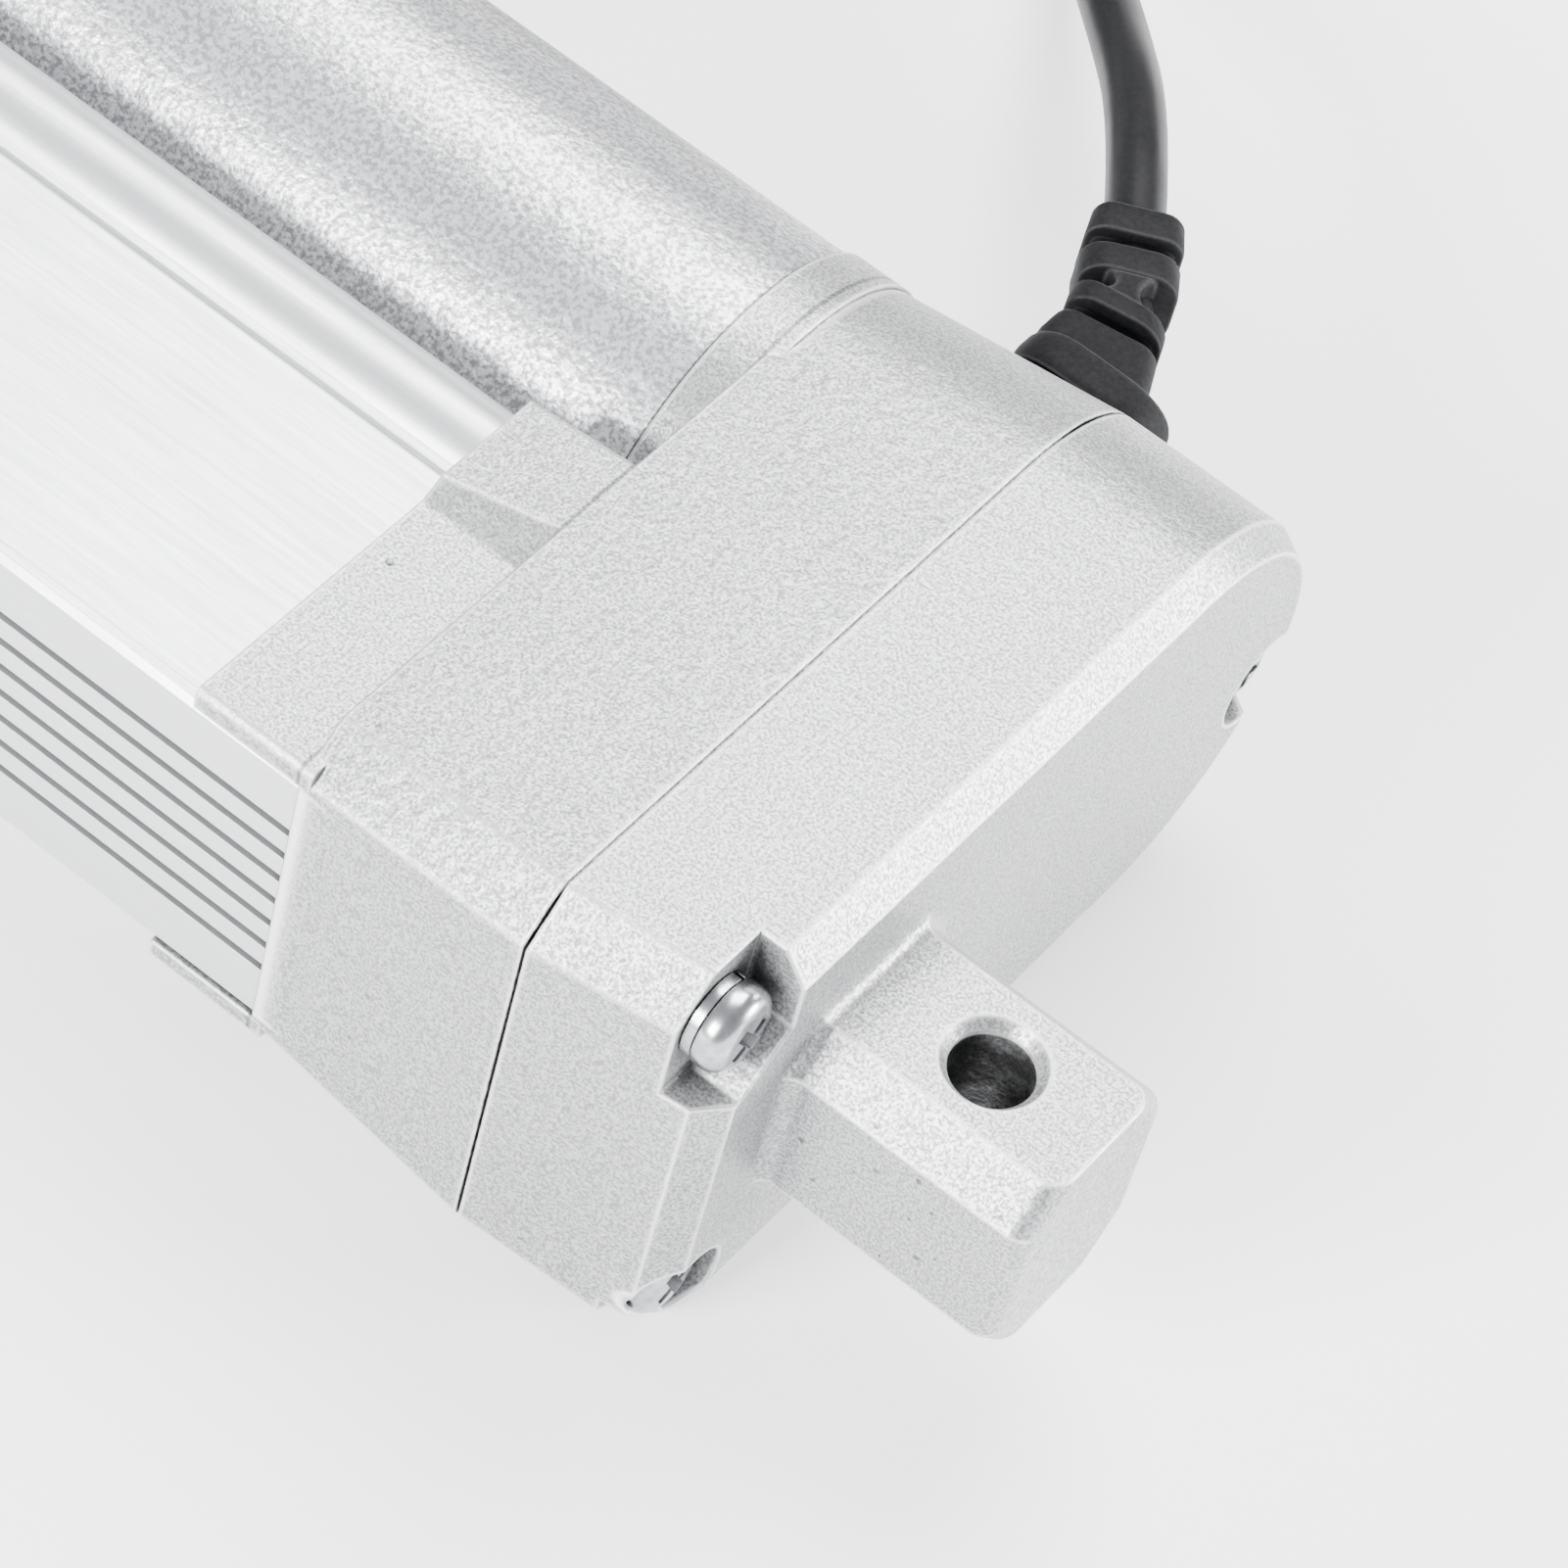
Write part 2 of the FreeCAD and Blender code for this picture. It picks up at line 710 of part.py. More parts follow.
def lead_screw():
    """Lead screw: threaded part, bearing journal, retainer groove and keyway."""
    body = rod_x(thread_radius, tube_rear, screw_tip)
    body = body.fuse(rod_x(journal_radius, output_rear - 1.5 * retainer_thick, tube_rear))
    groove = ring_x(journal_radius + past, retainer_groove_radius, output_rear - retainer_thick, output_rear)
    body = body.cut(groove).cut(output_key())
    tip_start = screw_tip - screw_guide_long
    tip = rod_x(thread_radius + past, tip_start, screw_tip).cut(rod_x(journal_radius, tip_start, screw_tip))
    return body.cut(tip)


def bearing_parts():
    """Deep groove ball bearing of the lead screw: outer ring, inner ring and balls."""
    outer = ring_x(bearing_radius, bearing_radius - bearing_ring, bearing_rear, tube_rear)
    inner = ring_x(journal_radius + bearing_ring, journal_radius, bearing_rear, tube_rear)
    path = (bearing_radius + journal_radius) / 2
    ball = (bearing_radius - journal_radius) / 2 - bearing_ring - fit_gap
    middle = (bearing_rear + tube_rear) / 2
    balls = []
    for number in range(ball_count):
        angle = 2 * math.pi * number / ball_count
        balls.append(Part.makeSphere(ball, V(middle, path * math.cos(angle), path * math.sin(angle))))
    return outer, inner, group(balls)


def drive_nut():
    """Acetal nut with a sliding key and a spigot for the rod tube."""
    body = rod_x(nut_radius, nut_start, nut_front)
    key = box(nut_start, nut_front, 0, nut_key_out, -nut_key_half, nut_key_half)
    body = body.fuse(key).fuse(rod_x(rod_bore, nut_front, nut_front + nut_spigot))
    return body.cut(rod_x(thread_radius + thin_gap, nut_start - past, nut_front + nut_spigot + past))


def switch_cam():
    """Cam on the nut that trips the limit switches."""
    middle = (nut_start + nut_front) / 2
    root = -nut_radius + cam_half
    block = box(middle - cam_long / 2, middle + cam_long / 2, -cam_out, root, -cam_half, cam_half)
    return block.cut(rod_x(nut_radius, nut_start, nut_front))


def cross_pin(reach):
    """Bar through the rod tube and the plug of the rod end, reaching as far to both sides."""
    start = V(rod_tube_end - rod_plug_long / 2, -reach, 0)
    return Part.makeCylinder(cross_pin_radius, 2 * reach, start, V(0, 1, 0))


def rod_tube():
    """Drawn steel rod tube."""
    return ring_x(rod_radius, rod_bore, nut_front, rod_tube_end).cut(cross_pin(2 * rod_radius))


def rod_end():
    """Rod end with its pivot hole, plugged into the rod tube."""
    head = rod_x(rod_radius, rod_tube_end, rod_tip)
    rim = [e for e in head.Edges if abs(e.CenterOfMass.x - rod_tip) < same and len(e.Vertexes) == 1]
    head = head.makeChamfer(rod_end_bevel, rim)
    body = head.fuse(rod_x(rod_bore - fit_gap, rod_tube_end - rod_plug_long, rod_tube_end))
    body = body.cut(Part.makeCylinder(pivot_hole / 2, 4 * rod_radius, V(rod_pin, 0, -2 * rod_radius)))
    return body.cut(cross_pin(2 * rod_radius))


def front_cap():
    """Front cap with rod opening and seal room."""
    body = tube_form(cap_rear, cap_front, cap_grow)
    body = body.cut(rod_x(rod_radius + body_gap, cap_rear - past, cap_front + past))
    body = body.cut(rod_x(seal_radius, cap_rear - past, cap_rear + seal_long))
    for y, z in cap_screw_holes():
        body = body.cut(rod_x(cap_screw_radius + fit_gap, cap_rear - past, cap_front + past, y, z))
    return body


def front_cap_screws():
    """Four small screws that hold the front cap."""
    one = pan_screw(cap_screw_head, cap_screw_head_high, cap_screw_radius, cap_screw_long)
    one = one.rotated(V(0, 0, 0), V(0, 0, 1), 180)
    return group([one.translated(V(cap_front, y, z)) for y, z in cap_screw_holes()])


def limit_board():
    """Circuit board of the limit switches along the motor side of the main tube."""
    start = nut_start - cam_long
    half = board_room_half - past
    return box(start, nut_front + stroke, -board_room_far, board_thick - board_room_far, -half, half)


def limit_switch(x):
    """Small limit switch with its plunger under the cam."""
    start = V(x, switch_face - body_gap, 0)
    half = switch_long / 2
    body = box(x - half, x + half, board_thick - board_room_far, start.y, -switch_half, switch_half)
    return body.fuse(Part.makeCylinder(plunger_radius, body_gap, start, V(0, 1, 0)))


def motor_can():
    """Deep drawn motor can with a front wall."""
    body = ring_x(can_radius, can_radius - can_wall, motor_seat, can_end)
    wall = ring_x(can_radius - can_wall, bush_radius, motor_seat, motor_seat + can_front_wall)
    body = body.fuse(wall)
    for side in (1, -1):
        end = motor_seat + 2 * can_front_wall
        body = body.cut(rod_x(cap_screw_radius, motor_seat - past, end, 0, side * motor_screw_offset))
    return body.translated(V(0, motor_axis, 0))


def magnets():
    """Two arc magnets in the motor can."""
    outer = can_radius - can_wall
    start = core_start - magnet_overhang
    end = core_end + magnet_overhang
    angle = math.radians(magnet_half_angle)
    y = clear * math.sin(angle)
    z = clear * math.cos(angle)
    wedge = prism_x([(0, 0), (y, z), (0, clear), (-y, z)], start - past, end + past)
    upper = ring_x(outer, outer - magnet_thick, start, end).common(wedge)
    return group([upper.translated(V(0, motor_axis, 0)), mirrored(upper).translated(V(0, motor_axis, 0))])


def armature_core():
    """Laminated core with slots."""
    body = rod_x(core_radius, core_start, core_end)
    for number in range(core_slots):
        slot = box(core_start - past, core_end + past, core_radius / 2, clear, -core_slot_half, core_slot_half)
        body = body.cut(slot.rotated(V(0, 0, 0), V(1, 0, 0), 360.0 * number / core_slots))
    body = body.cut(rod_x(motor_shaft_radius, core_start - past, core_end + past))
    return body.translated(V(0, motor_axis, 0))


def windings():
    """Copper end turns on both sides of the core."""
    parts = []
    for x0, x1 in ((core_start - winding_overhang, core_start), (core_end, core_end + winding_overhang)):
        ring = ring_x(winding_radius, motor_shaft_radius + winding_bore_gap, x0, x1, motor_axis)
        rims = [e for e in ring.Edges if len(e.Vertexes) == 1 and e.BoundBox.ZLength > 2 * winding_radius - past]
        parts.append(ring.makeFillet(winding_round, rims))
    return group(parts)


def brushes():
    """Two carbon brushes on the commutator."""
    near = commutator_radius + thin_gap
    low, high = brush_span()
    upper = box(low, high, motor_axis - brush_half, motor_axis + brush_half, near, near + brush_long)
    return group([upper, mirrored(upper)])


def brush_span():
    """Start and end of the brushes along the motor."""
    middle = (commutator_start + commutator_end) / 2
    return middle - brush_thick / 2, middle + brush_thick / 2


def brush_holder():
    """Brush holder plate with two guides."""
    outer = can_radius - can_wall - fit_gap
    bore = commutator_radius + 2 * body_gap
    body = ring_x(outer, bore, commutator_end - body_gap, can_end, motor_axis)
    start, end = brush_span()
    wall = brush_half + brush_guide_wall
    for side in (1, -1):
        low, high = sorted((side * (bore + body_gap), side * (commutator_radius + brush_long + wall - brush_half)))
        guide = box(start - brush_guide_wall, can_end - past, motor_axis - wall, motor_axis + wall, low, high)
        body = body.fuse(guide)
    room = box(start, end, motor_axis - brush_half, motor_axis + brush_half, -clear, clear)
    return body.cut(room).cut(rod_x(bore, start - 2 * brush_guide_wall, commutator_end, motor_axis))


def motor_end_bell():
    """End bell that carries the rear motor bush."""
    return ring_x(can_radius, bush_radius, can_end, can_end + bell_thick, motor_axis)


def motor_end_cap():
    """Round cap that closes the motor tube."""
    inner = motor_tube_radius - motor_tube_wall - fit_gap
    end = motor_tube_end + motor_cap_thick
    body = rod_x(motor_tube_radius, motor_tube_end, end, motor_axis)
    rim = [e for e in body.Edges if len(e.Vertexes) == 1 and abs(e.CenterOfMass.x - end) < same]
    body = body.makeFillet(0.4 * motor_cap_thick, rim)
    skirt_end = motor_tube_end + 0.2 * motor_cap_thick
    return body.fuse(ring_x(inner, inner - cap_skirt, can_end + bell_thick, skirt_end, motor_axis))


def motor_screws():
    """Two screws that hold the motor to the gear case."""
    one = pan_screw(cap_screw_head, cap_screw_head_high, cap_screw_radius, motor_seat + can_front_wall - chamber_front)
    places = both(motor_axis, motor_screw_offset)
    return group([one.translated(V(chamber_front, y, z)) for y, z in places])


def relief_section(x, y, turn, wide, high):
    """Rounded oblong section of the strain relief, square to its bent middle line."""
    corner = 0.3 * min(wide, high)
    half_w = wide / 2
    half_h = high / 2
    ring = []
    spots = [(half_w - corner, half_h - corner, 0), (corner - half_w, half_h - corner, 90)]
    spots += [(corner - half_w, corner - half_h, 180), (half_w - corner, corner - half_h, 270)]
    for u, w, start in spots:
        for step in (0, 45, 90):
            angle = math.radians(start + step)
            ring.append((u + corner * math.cos(angle), w + corner * math.sin(angle)))
    edges = []
    lean = math.radians(turn)
    placed = [V(x + u * math.cos(lean), y + u * math.sin(lean), relief_z + w) for u, w in ring]
    for number in range(4):
        a, b, c = placed[3 * number:3 * number + 3]
        edges.append(Part.Arc(a, b, c).toShape())
        edges.append(Part.makeLine(c, placed[(3 * number + 3) % 12]))
    return Part.Wire(edges)


# Middle line of the strain relief beyond its flange: x, y, turn in degrees, width, height
relief_stations = (
    (33.6, -57.3, 3.0, 9.6, 9.5),
    (35.3, -63.9, 9.0, 8.8, 8.8),
    (36.9, -67.8, 16.0, 8.3, 8.0),
    (39.3, -72.7, 26.0, 8.0, 7.3),
    (41.4, -76.8, 28.0, 7.6, 6.8),
)

# Slots of the sleeve: station that each follows, share of the way to the next, and direction
relief_slots = ((1, 0.30, "level"), (2, 0.22, "upright"), (3, 0.18, "level"))


def relief_flange():
    """Flange curved about the motor axis; it lies on the case at the joint and stands off in front."""
    low = relief_x - relief_flange_half
    high = relief_x + relief_flange_half
    outside = motor_axis - case_half - 2 * relief_flange_thick
    bar = box(low, high, outside, motor_axis, relief_z - relief_flange_high, relief_z + relief_flange_high)
    corners = [e for e in bar.Edges if abs(e.tangentAt(e.FirstParameter).y) > 0.99]
    bar = bar.makeFillet(relief_flange_round, corners)
    outer = case_half + fit_gap + relief_flange_thick
    return bar.common(ring_x(outer, case_half + fit_gap, low - 1, high + 1, motor_axis))


def cable_relief():
    """Rubber strain relief: flange and plug in the case wall, and a slotted tapered sleeve."""
    start = V(relief_x, relief_stations[0][1], relief_z)
    plug = Part.makeCylinder(relief_plug_radius, relief_plug_long, start, V(0, 1, 0))
    sleeve = Part.makeLoft([relief_section(*station) for station in relief_stations], True, False)
    body = relief_flange().fuse(sleeve).fuse(plug)
    for slot in relief_slots:
        body = body.cut(relief_slot(*slot))
    return body


def relief_slot(index, share, direction):
    """Pair of slots in the sleeve: level ones from above and below, upright ones from both sides."""
    stations = zip(relief_stations[index], relief_stations[index + 1])
    x, y, turn, wide, high = [near + (far - near) * share for near, far in stations]
    half = relief_slot_wide / 2
    cuts = []
    for side in (1, -1):
        if direction == "upright":
            near, far = sorted((side * relief_web_half, side * wide))
            cut = box(near, far, -half, half, -high, high)
        else:
            near, far = sorted((side * (cable_radius - body_gap), side * high))
            cut = box(-wide, wide, -half, half, near, far)
        cuts.append(cut.rotated(V(0, 0, 0), V(0, 0, 1), turn).translated(V(x, y, relief_z)))
    return cuts[0].fuse(cuts[1])


# Route of the cable from the strain relief to its coil on the floor
cable_route = [
    V(41.5, -76.8, 2.0),
    V(48.7, -88.2, 0.9),
    V(58.6, -100.5, -4.6),
    V(68.6, -112.6, -11.0),
    V(80.0, -129.2, -16.0),
    V(90.7, -146.3, -17.0),
]


def route_wire(points):
    """Straight runs joined by the largest tangent arcs that they allow."""
    edges = []
    start = points[0]
    for before, corner, after in zip(points, points[1:], points[2:]):
        first = corner - before
        second = after - corner
        reach = 0.45 * min(first.Length, second.Length)
        turn = first.getAngle(second)
        first.normalize()
        second.normalize()
        enter = corner - first * reach
        leave = corner + second * reach
        radius = reach / math.tan(turn / 2)
        bisector = second - first
        bisector.normalize()
        centre = corner + bisector * math.hypot(radius, reach)
        middle = centre - bisector * radius
        print("cable bend radius", round(radius, 1))
        edges.append(Part.makeLine(start, enter))
        edges.append(Part.Arc(enter, middle, leave).toShape())
        start = leave
    edges.append(Part.makeLine(start, points[-1]))
    return Part.Wire(edges)


def cable():
    """Free run of the cable."""
    path = route_wire(cable_route)
    along = cable_route[1] - cable_route[0]
    circle = Part.Wire(Part.makeCircle(cable_radius, cable_route[0], along))
    tube = path.makePipeShell([circle], True, False)
    print("cable volume share", round(tube.Volume / (math.pi * cable_radius ** 2 * path.Length), 4))
    return tube


def cable_coil():
    """Outer shape of the coiled rest of the cable."""
    x, y = coil_centre
    inner = coil_mid_radius - 2 * cable_radius
    outer = coil_mid_radius + 2 * cable_radius
    high = coil_layers * 2 * cable_radius
    body = Part.makeCylinder(outer, high, V(x, y, coil_floor)).cut(Part.makeCylinder(inner, high, V(x, y, coil_floor)))
    rims = [e for e in body.Edges if len(e.Vertexes) == 1]
    return body.makeFillet(0.9 * cable_radius, rims)


def cable_tie():
    """Flat tie around the turns of the coil."""
    half = 2 * cable_radius + body_gap
    high = coil_layers * 2 * cable_radius
    outer = box(-half - tie_thick, half + tie_thick, -tie_wide / 2, tie_wide / 2, -tie_thick, high + tie_thick)
    band = outer.cut(box(-half, half, -tie_wide, tie_wide, 0, high))
    band = band.translated(V(coil_mid_radius, 0, 0)).rotated(V(0, 0, 0), V(0, 0, 1), tie_turn)
    return band.translated(V(*coil_centre, coil_floor))


def cable_leads():
    """Two insulated wires of the bare cable end, lying on the coil."""
    top = coil_floor + coil_layers * 2 * cable_radius
    x, y = coil_centre
    wires = []
    for side in (1, -1):
        start = V(x - wire_long / 2, y + coil_mid_radius + side * wire_apart / 2, top + wire_radius)
        wires.append(Part.makeCylinder(wire_radius, wire_long, start, V(1, 0, 0)))
    return group(wires)


save("rear_cover", rear_cover())
save("gear_housing", gear_housing())
save("cover_screws", cover_screws())
save("cover_spring_washers", spring_washers())
save("outer_tube", outer_tube())
save("front_cap", front_cap())
save("front_cap_screws", front_cap_screws())
save("rod_guide_bush", ring_x(tube_bore - fit_gap, rod_radius + fit_gap, guide_rear, cap_rear))
save("rod_wiper_seal", ring_x(seal_radius, rod_radius + fit_gap, cap_rear, cap_rear + seal_long))
save("rod_tube", rod_tube())
save("rod_end", rod_end())
save("rod_cross_pin", cross_pin(rod_radius - body_gap))
save("drive_nut", drive_nut())
save("switch_cam", switch_cam())
save("lead_screw", lead_screw())
save("screw_tip_guide", ring_x(rod_bore - 2 * thin_gap, journal_radius, screw_tip - screw_guide_long, screw_tip))
save("output_gear", output_gear())
save("output_gear_key", output_key())
save("retaining_ring", ring_x(retainer_radius, retainer_groove_radius, output_rear - retainer_thick, output_rear))
outer_ring, inner_ring, balls = bearing_parts()
save("bearing_outer_ring", outer_ring)
save("bearing_inner_ring", inner_ring)
save("bearing_balls", balls)
save("compound_gear", compound_gear())
save("compound_gear_axle", rod_x(axle_radius, axle_start, axle_end, wheel_axis))
save("motor_pinion", motor_pinion())
save("motor_shaft", rod_x(motor_shaft_radius, pinion_start, can_end + bell_thick, motor_axis))
bush_bore = motor_shaft_radius + fit_gap
save("shaft_support_bush", ring_x(bush_radius, bush_bore, bush_start, bush_start + bush_long, motor_axis))
save("motor_front_bush", ring_x(bush_radius, bush_bore, motor_seat, motor_seat + bush_long, motor_axis))
save("motor_rear_bush", ring_x(bush_radius, bush_bore, can_end, can_end + bell_thick, motor_axis))
motor_tube_bore = motor_tube_radius - motor_tube_wall
save("motor_tube", ring_x(motor_tube_radius, motor_tube_bore, motor_seat, motor_tube_end, motor_axis))
save("motor_can", motor_can())
save("motor_magnets", magnets())
save("armature_core", armature_core())
save("armature_windings", windings())
save("commutator", ring_x(commutator_radius, motor_shaft_radius, commutator_start, commutator_end, motor_axis))
save("carbon_brushes", brushes())
save("brush_holder", brush_holder())
save("motor_end_bell", motor_end_bell())
save("motor_end_cap", motor_end_cap())
save("motor_screws", motor_screws())
save("limit_switch_board", limit_board())
save("rear_limit_switch", limit_switch((nut_start + nut_front) / 2))
save("front_limit_switch", limit_switch((nut_start + nut_front) / 2 + stroke))
save("cable_relief", cable_relief())
save("cable", cable())
save("cable_coil", cable_coil())
save("cable_tie", cable_tie())
save("cable_leads", cable_leads())
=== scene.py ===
import json
import math
import bpy
import bmesh
from mathutils import Matrix, Vector


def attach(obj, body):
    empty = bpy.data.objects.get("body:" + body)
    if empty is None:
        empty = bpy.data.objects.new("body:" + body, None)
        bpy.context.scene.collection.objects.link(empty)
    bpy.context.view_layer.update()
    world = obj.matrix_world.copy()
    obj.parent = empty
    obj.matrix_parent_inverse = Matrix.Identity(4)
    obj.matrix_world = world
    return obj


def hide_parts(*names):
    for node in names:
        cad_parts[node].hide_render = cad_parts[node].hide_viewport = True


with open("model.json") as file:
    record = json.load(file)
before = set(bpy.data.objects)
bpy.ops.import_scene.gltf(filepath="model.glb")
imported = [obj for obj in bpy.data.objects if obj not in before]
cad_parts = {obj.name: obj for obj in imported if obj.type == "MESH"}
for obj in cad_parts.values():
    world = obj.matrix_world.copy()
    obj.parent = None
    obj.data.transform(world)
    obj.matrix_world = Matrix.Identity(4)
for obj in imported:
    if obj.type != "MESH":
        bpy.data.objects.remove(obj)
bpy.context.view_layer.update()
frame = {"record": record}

MM = 0.001
EVEN = (1.0, 1.0, 1.0)

# Camera fitted to the photograph: a long lens behind and above the pivot lug
photo_side = 1601
focal_pixels = 6853.12
sensor_mm = 36.0
camera_place = Vector((-99.59, 261.93, 375.64)) * MM
look_right = Vector((-0.77684, -0.60320, 0.18076))
look_down = Vector((-0.57148, 0.55479, -0.60467))
look_forward = Vector((0.26445, -0.57303, -0.77570))
nearest_seen = 0.01
farthest_seen = 20.0

# Studio lights in metres and watts: name, place, width and height, power
light_aim = (0.02, -0.01, 0.0)
studio_lights = (
    ("key", (0.28, 0.90, 0.46), (0.40, 0.40), 30.0),
    ("rear", (-0.86, -0.62, 0.14), (0.40, 0.30), 26.0),
    ("top", (0.25, -0.50, 0.85), (0.60, 0.60), 22.0),
    ("cord", (-0.27, -0.91, 0.32), (0.20, 0.20), 3.0),
)
dark_side = (0.26, -0.96, 0.10)
dark_side_range = (0.35, 0.92)
room_colour = (0.93, 0.95, 1.0)
room_dark_colour = (0.10, 0.10, 0.11)
room_strength = 0.85

# Studio floor in metres
floor_half = 3.0
floor_clearance = 0.0001
floor_glow = 0.95

# Sizes that repeat those of the solids, in millimetres
floor_level = -20.0
motor_axis_y = -36.6
case_half = 20.0
case_joint = 27.0
case_front = 47.5
collar_long = 3.5
pivot_radius = 3.2

# Cable from the strain relief to its coil on the floor
cable_diameter = 5.0
cable_route = [
    (41.5, -76.8, 2.0),
    (48.7, -88.2, 0.9),
    (58.6, -100.5, -4.6),
    (68.6, -112.6, -11.0),
    (80.0, -129.2, -16.0),
    (90.7, -146.3, -17.0),
]
coil_centre = (116.0, -130.0)
coil_radii = (30.0, 25.0)
coil_floor = floor_level + 0.5
coil_places = ((0, 0), (1, 0), (1, 1), (0, 1), (0, 2), (1, 2))
coil_change = 50.0 / 360.0
coil_turn_steps = 20
coil_last_steps = 14
coil_polygon_gain = 1.008
curve_steps = 6

# Strain relief: its sleeve has a line of x, y, turn in degrees, width and height
relief_middle_z = 2.0
relief_line = (
    (33.9, -57.3, 3.0, 10.2, 10.2),
    (34.7, -60.9, 6.0, 9.9, 9.8),
    (35.5, -63.9, 10.0, 8.6, 8.8),
    (36.1, -65.7, 10.0, 8.4, 8.4),
    (36.9, -67.7, 8.0, 8.4, 8.0),
    (37.8, -70.2, 28.0, 8.0, 7.7),
    (39.4, -72.7, 30.0, 8.1, 7.3),
    (40.0, -74.0, 29.0, 8.0, 7.1),
    (41.5, -76.8, 29.0, 7.3, 6.8),
)
ring_corner_steps = 7
plain_roundness = 0.34
ring_roundness = 0.6
end_roundness = 0.5
body_edge = 0.22
ring_edge = 0.28
end_edge = 0.34
slot_width_share = 0.80
slot_height_share = 0.60
rib_height_share = 0.95
rib_widths = (
    (0.0, 0.50),
    (0.12, 0.37),
    (0.30, 0.28),
    (0.5, 0.25),
    (0.70, 0.28),
    (0.88, 0.37),
    (1.0, 0.50),
)
inner_cable_share = 0.98
inner_cable_start = 1.5
inner_cable_step = 0.25
inner_cable_stations = 25
round_steps = 24

# Flange of the strain relief: rows have a share of the thickness and an inset
relief_flange_x = 32.8
relief_flange_half = 6.65
relief_flange_high = 7.5
relief_flange_thick = 3.5
relief_flange_corner = 4.2
relief_flange_lift = 0.05
relief_flange_steps = 9
relief_flange_rows = (
    (0.0, 0.3),
    (0.12, 0.09),
    (0.3, 0.0),
    (0.5, 0.0),
    (0.7, 0.0),
    (0.88, 0.12),
    (1.0, 0.4),
)

# Cover screws: places have y and z, turns are in degrees
screw_places = ((14.4, 14.9), (14.4, -14.9), (-53.2, -4.8))
screw_turns = (52.0, 61.0, 10.0)
screw_seat = 15.1
screw_radius = 1.8
screw_long = 20.0
screw_point = 0.6
screw_point_share = 0.7
screw_head_radius = 3.45
screw_head_high = 2.5
screw_head_wall = 0.95
screw_head_rim = 0.15
screw_head_rim_share = 0.97
screw_head_middle_share = 0.12
dome_turn = 84.0
dome_steps = 12
dome_power = 0.50
lathe_steps = 48

# Cross recess: half width and reach of its wings above the head and at its bottom
cross_ends = ((-1.0, 0.62, 2.52), (1.5, 0.36, 0.945))

# Spring washers under the screws
washer_thick = 1.0
washer_radius = 3.4
washer_split = 0.5
washer_play = 0.2
washer_edge = 0.15
washer_edge_rise = 0.12
washer_steps = 64
washer_turn = 1.2

# Lead screw: x and radius along its journal, and the thread's form as shares of its lead
lead_screw_radius = 6.0
lead_screw_ends = (
    (21.05, 5.0),
    (21.5, 5.0),
    (21.5, 4.0),
    (22.4, 4.0),
    (22.4, 5.0),
    (43.0, 5.0),
)
thread_start = 43.0
thread_end = 179.6
screw_tip = 184.1
screw_tip_radius = 5.0
thread_lead = 3.0
thread_deep = 1.4
thread_root = 0.13
thread_flank = 0.12
thread_rows = 10

# Casting pits on the lug: x, y, z and radius
lug_pits = (
    (8.3, 8.6, 0.5, 0.36),
    (3.8, 8.6, 1.2, 0.22),
    (-2.6, 8.6, 2.9, 0.24),
    (-1.2, 8.6, 0.7, 0.20),
    (-2.7, 8.6, -2.6, 0.34),
    (-4.0, 8.6, -1.4, 0.18),
    (0.0, 8.6, -5.2, 0.20),
    (6.5, 8.6, -2.6, 0.26),
    (3.5, 8.1, 6.6, 0.30),
    (-7.3, 8.0, 6.7, 0.30),
    (-9.2, 6.4, 8.9, 0.50),
)
pit_core_share = 0.45
pit_shade = 0.30

# Lines painted on the case, in millimetres, and how dark they are
joint_offset = 0.12
joint_ragged = 0.32
joint_side_range = (-0.10, 0.03)
joint_side_shade = 0.22
joint_top_range = (0.14, 0.22)
# Painted light that lightens the joint's groove on top
joint_top_light_gain = 1.9
joint_top_below = (1.2, 0.4)
seam_range = (0.10, 0.24)
case_seam = case_front + 0.1
case_seam_shade = 0.40
collar_seam = case_front + collar_long + 0.12
collar_seam_shade = 0.14

# Painted highlights on edges: reach in millimetres and how far the surface turns within it
edge_highlight_reach = 0.55
edge_highlight_turn_range = (0.965, 0.9985)
edge_highlight_colour = (0.97, 0.97, 0.97, 1.0)
edge_highlight_outward_reach = 0.7
edge_highlight_outward_range = (0.55, 0.85)

# Painted shade in hollows: openness from dark to plain, and reach in millimetres
hollow_range = (0.10, 0.72)
paint_hollow_reach = 4.0
casting_hollow_shade = 0.26
tube_hollow_shade = 0.35
metal_hollow_shade = 0.08
moulded_hollow_reach = 2.0
moulded_hollow_shade = 0.2

painted_tubes = ("motor_tube", "motor_end_cap")


# Camera and lights

def make_camera():
    data = bpy.data.cameras.new("photo_camera")
    data.sensor_width = sensor_mm
    data.lens = focal_pixels / photo_side * sensor_mm
    data.clip_start = nearest_seen
    data.clip_end = farthest_seen
    camera = bpy.data.objects.new("photo_camera", data)
    turn = Matrix((look_right, -look_down, -look_forward)).transposed()
    camera.matrix_world = Matrix.Translation(camera_place) @ turn.to_4x4()
    bpy.context.scene.collection.objects.link(camera)
    bpy.context.scene.camera = camera


def make_light(name, place, size, power):
    data = bpy.data.lights.new(name, "AREA")
    data.shape = "RECTANGLE"
    data.size, data.size_y = size
    data.energy = power
    light = bpy.data.objects.new(name, data)
    light.location = place
    toward = Vector(light_aim) - Vector(place)
    light.rotation_euler = toward.to_track_quat("-Z", "Y").to_euler()
    bpy.context.scene.collection.objects.link(light)


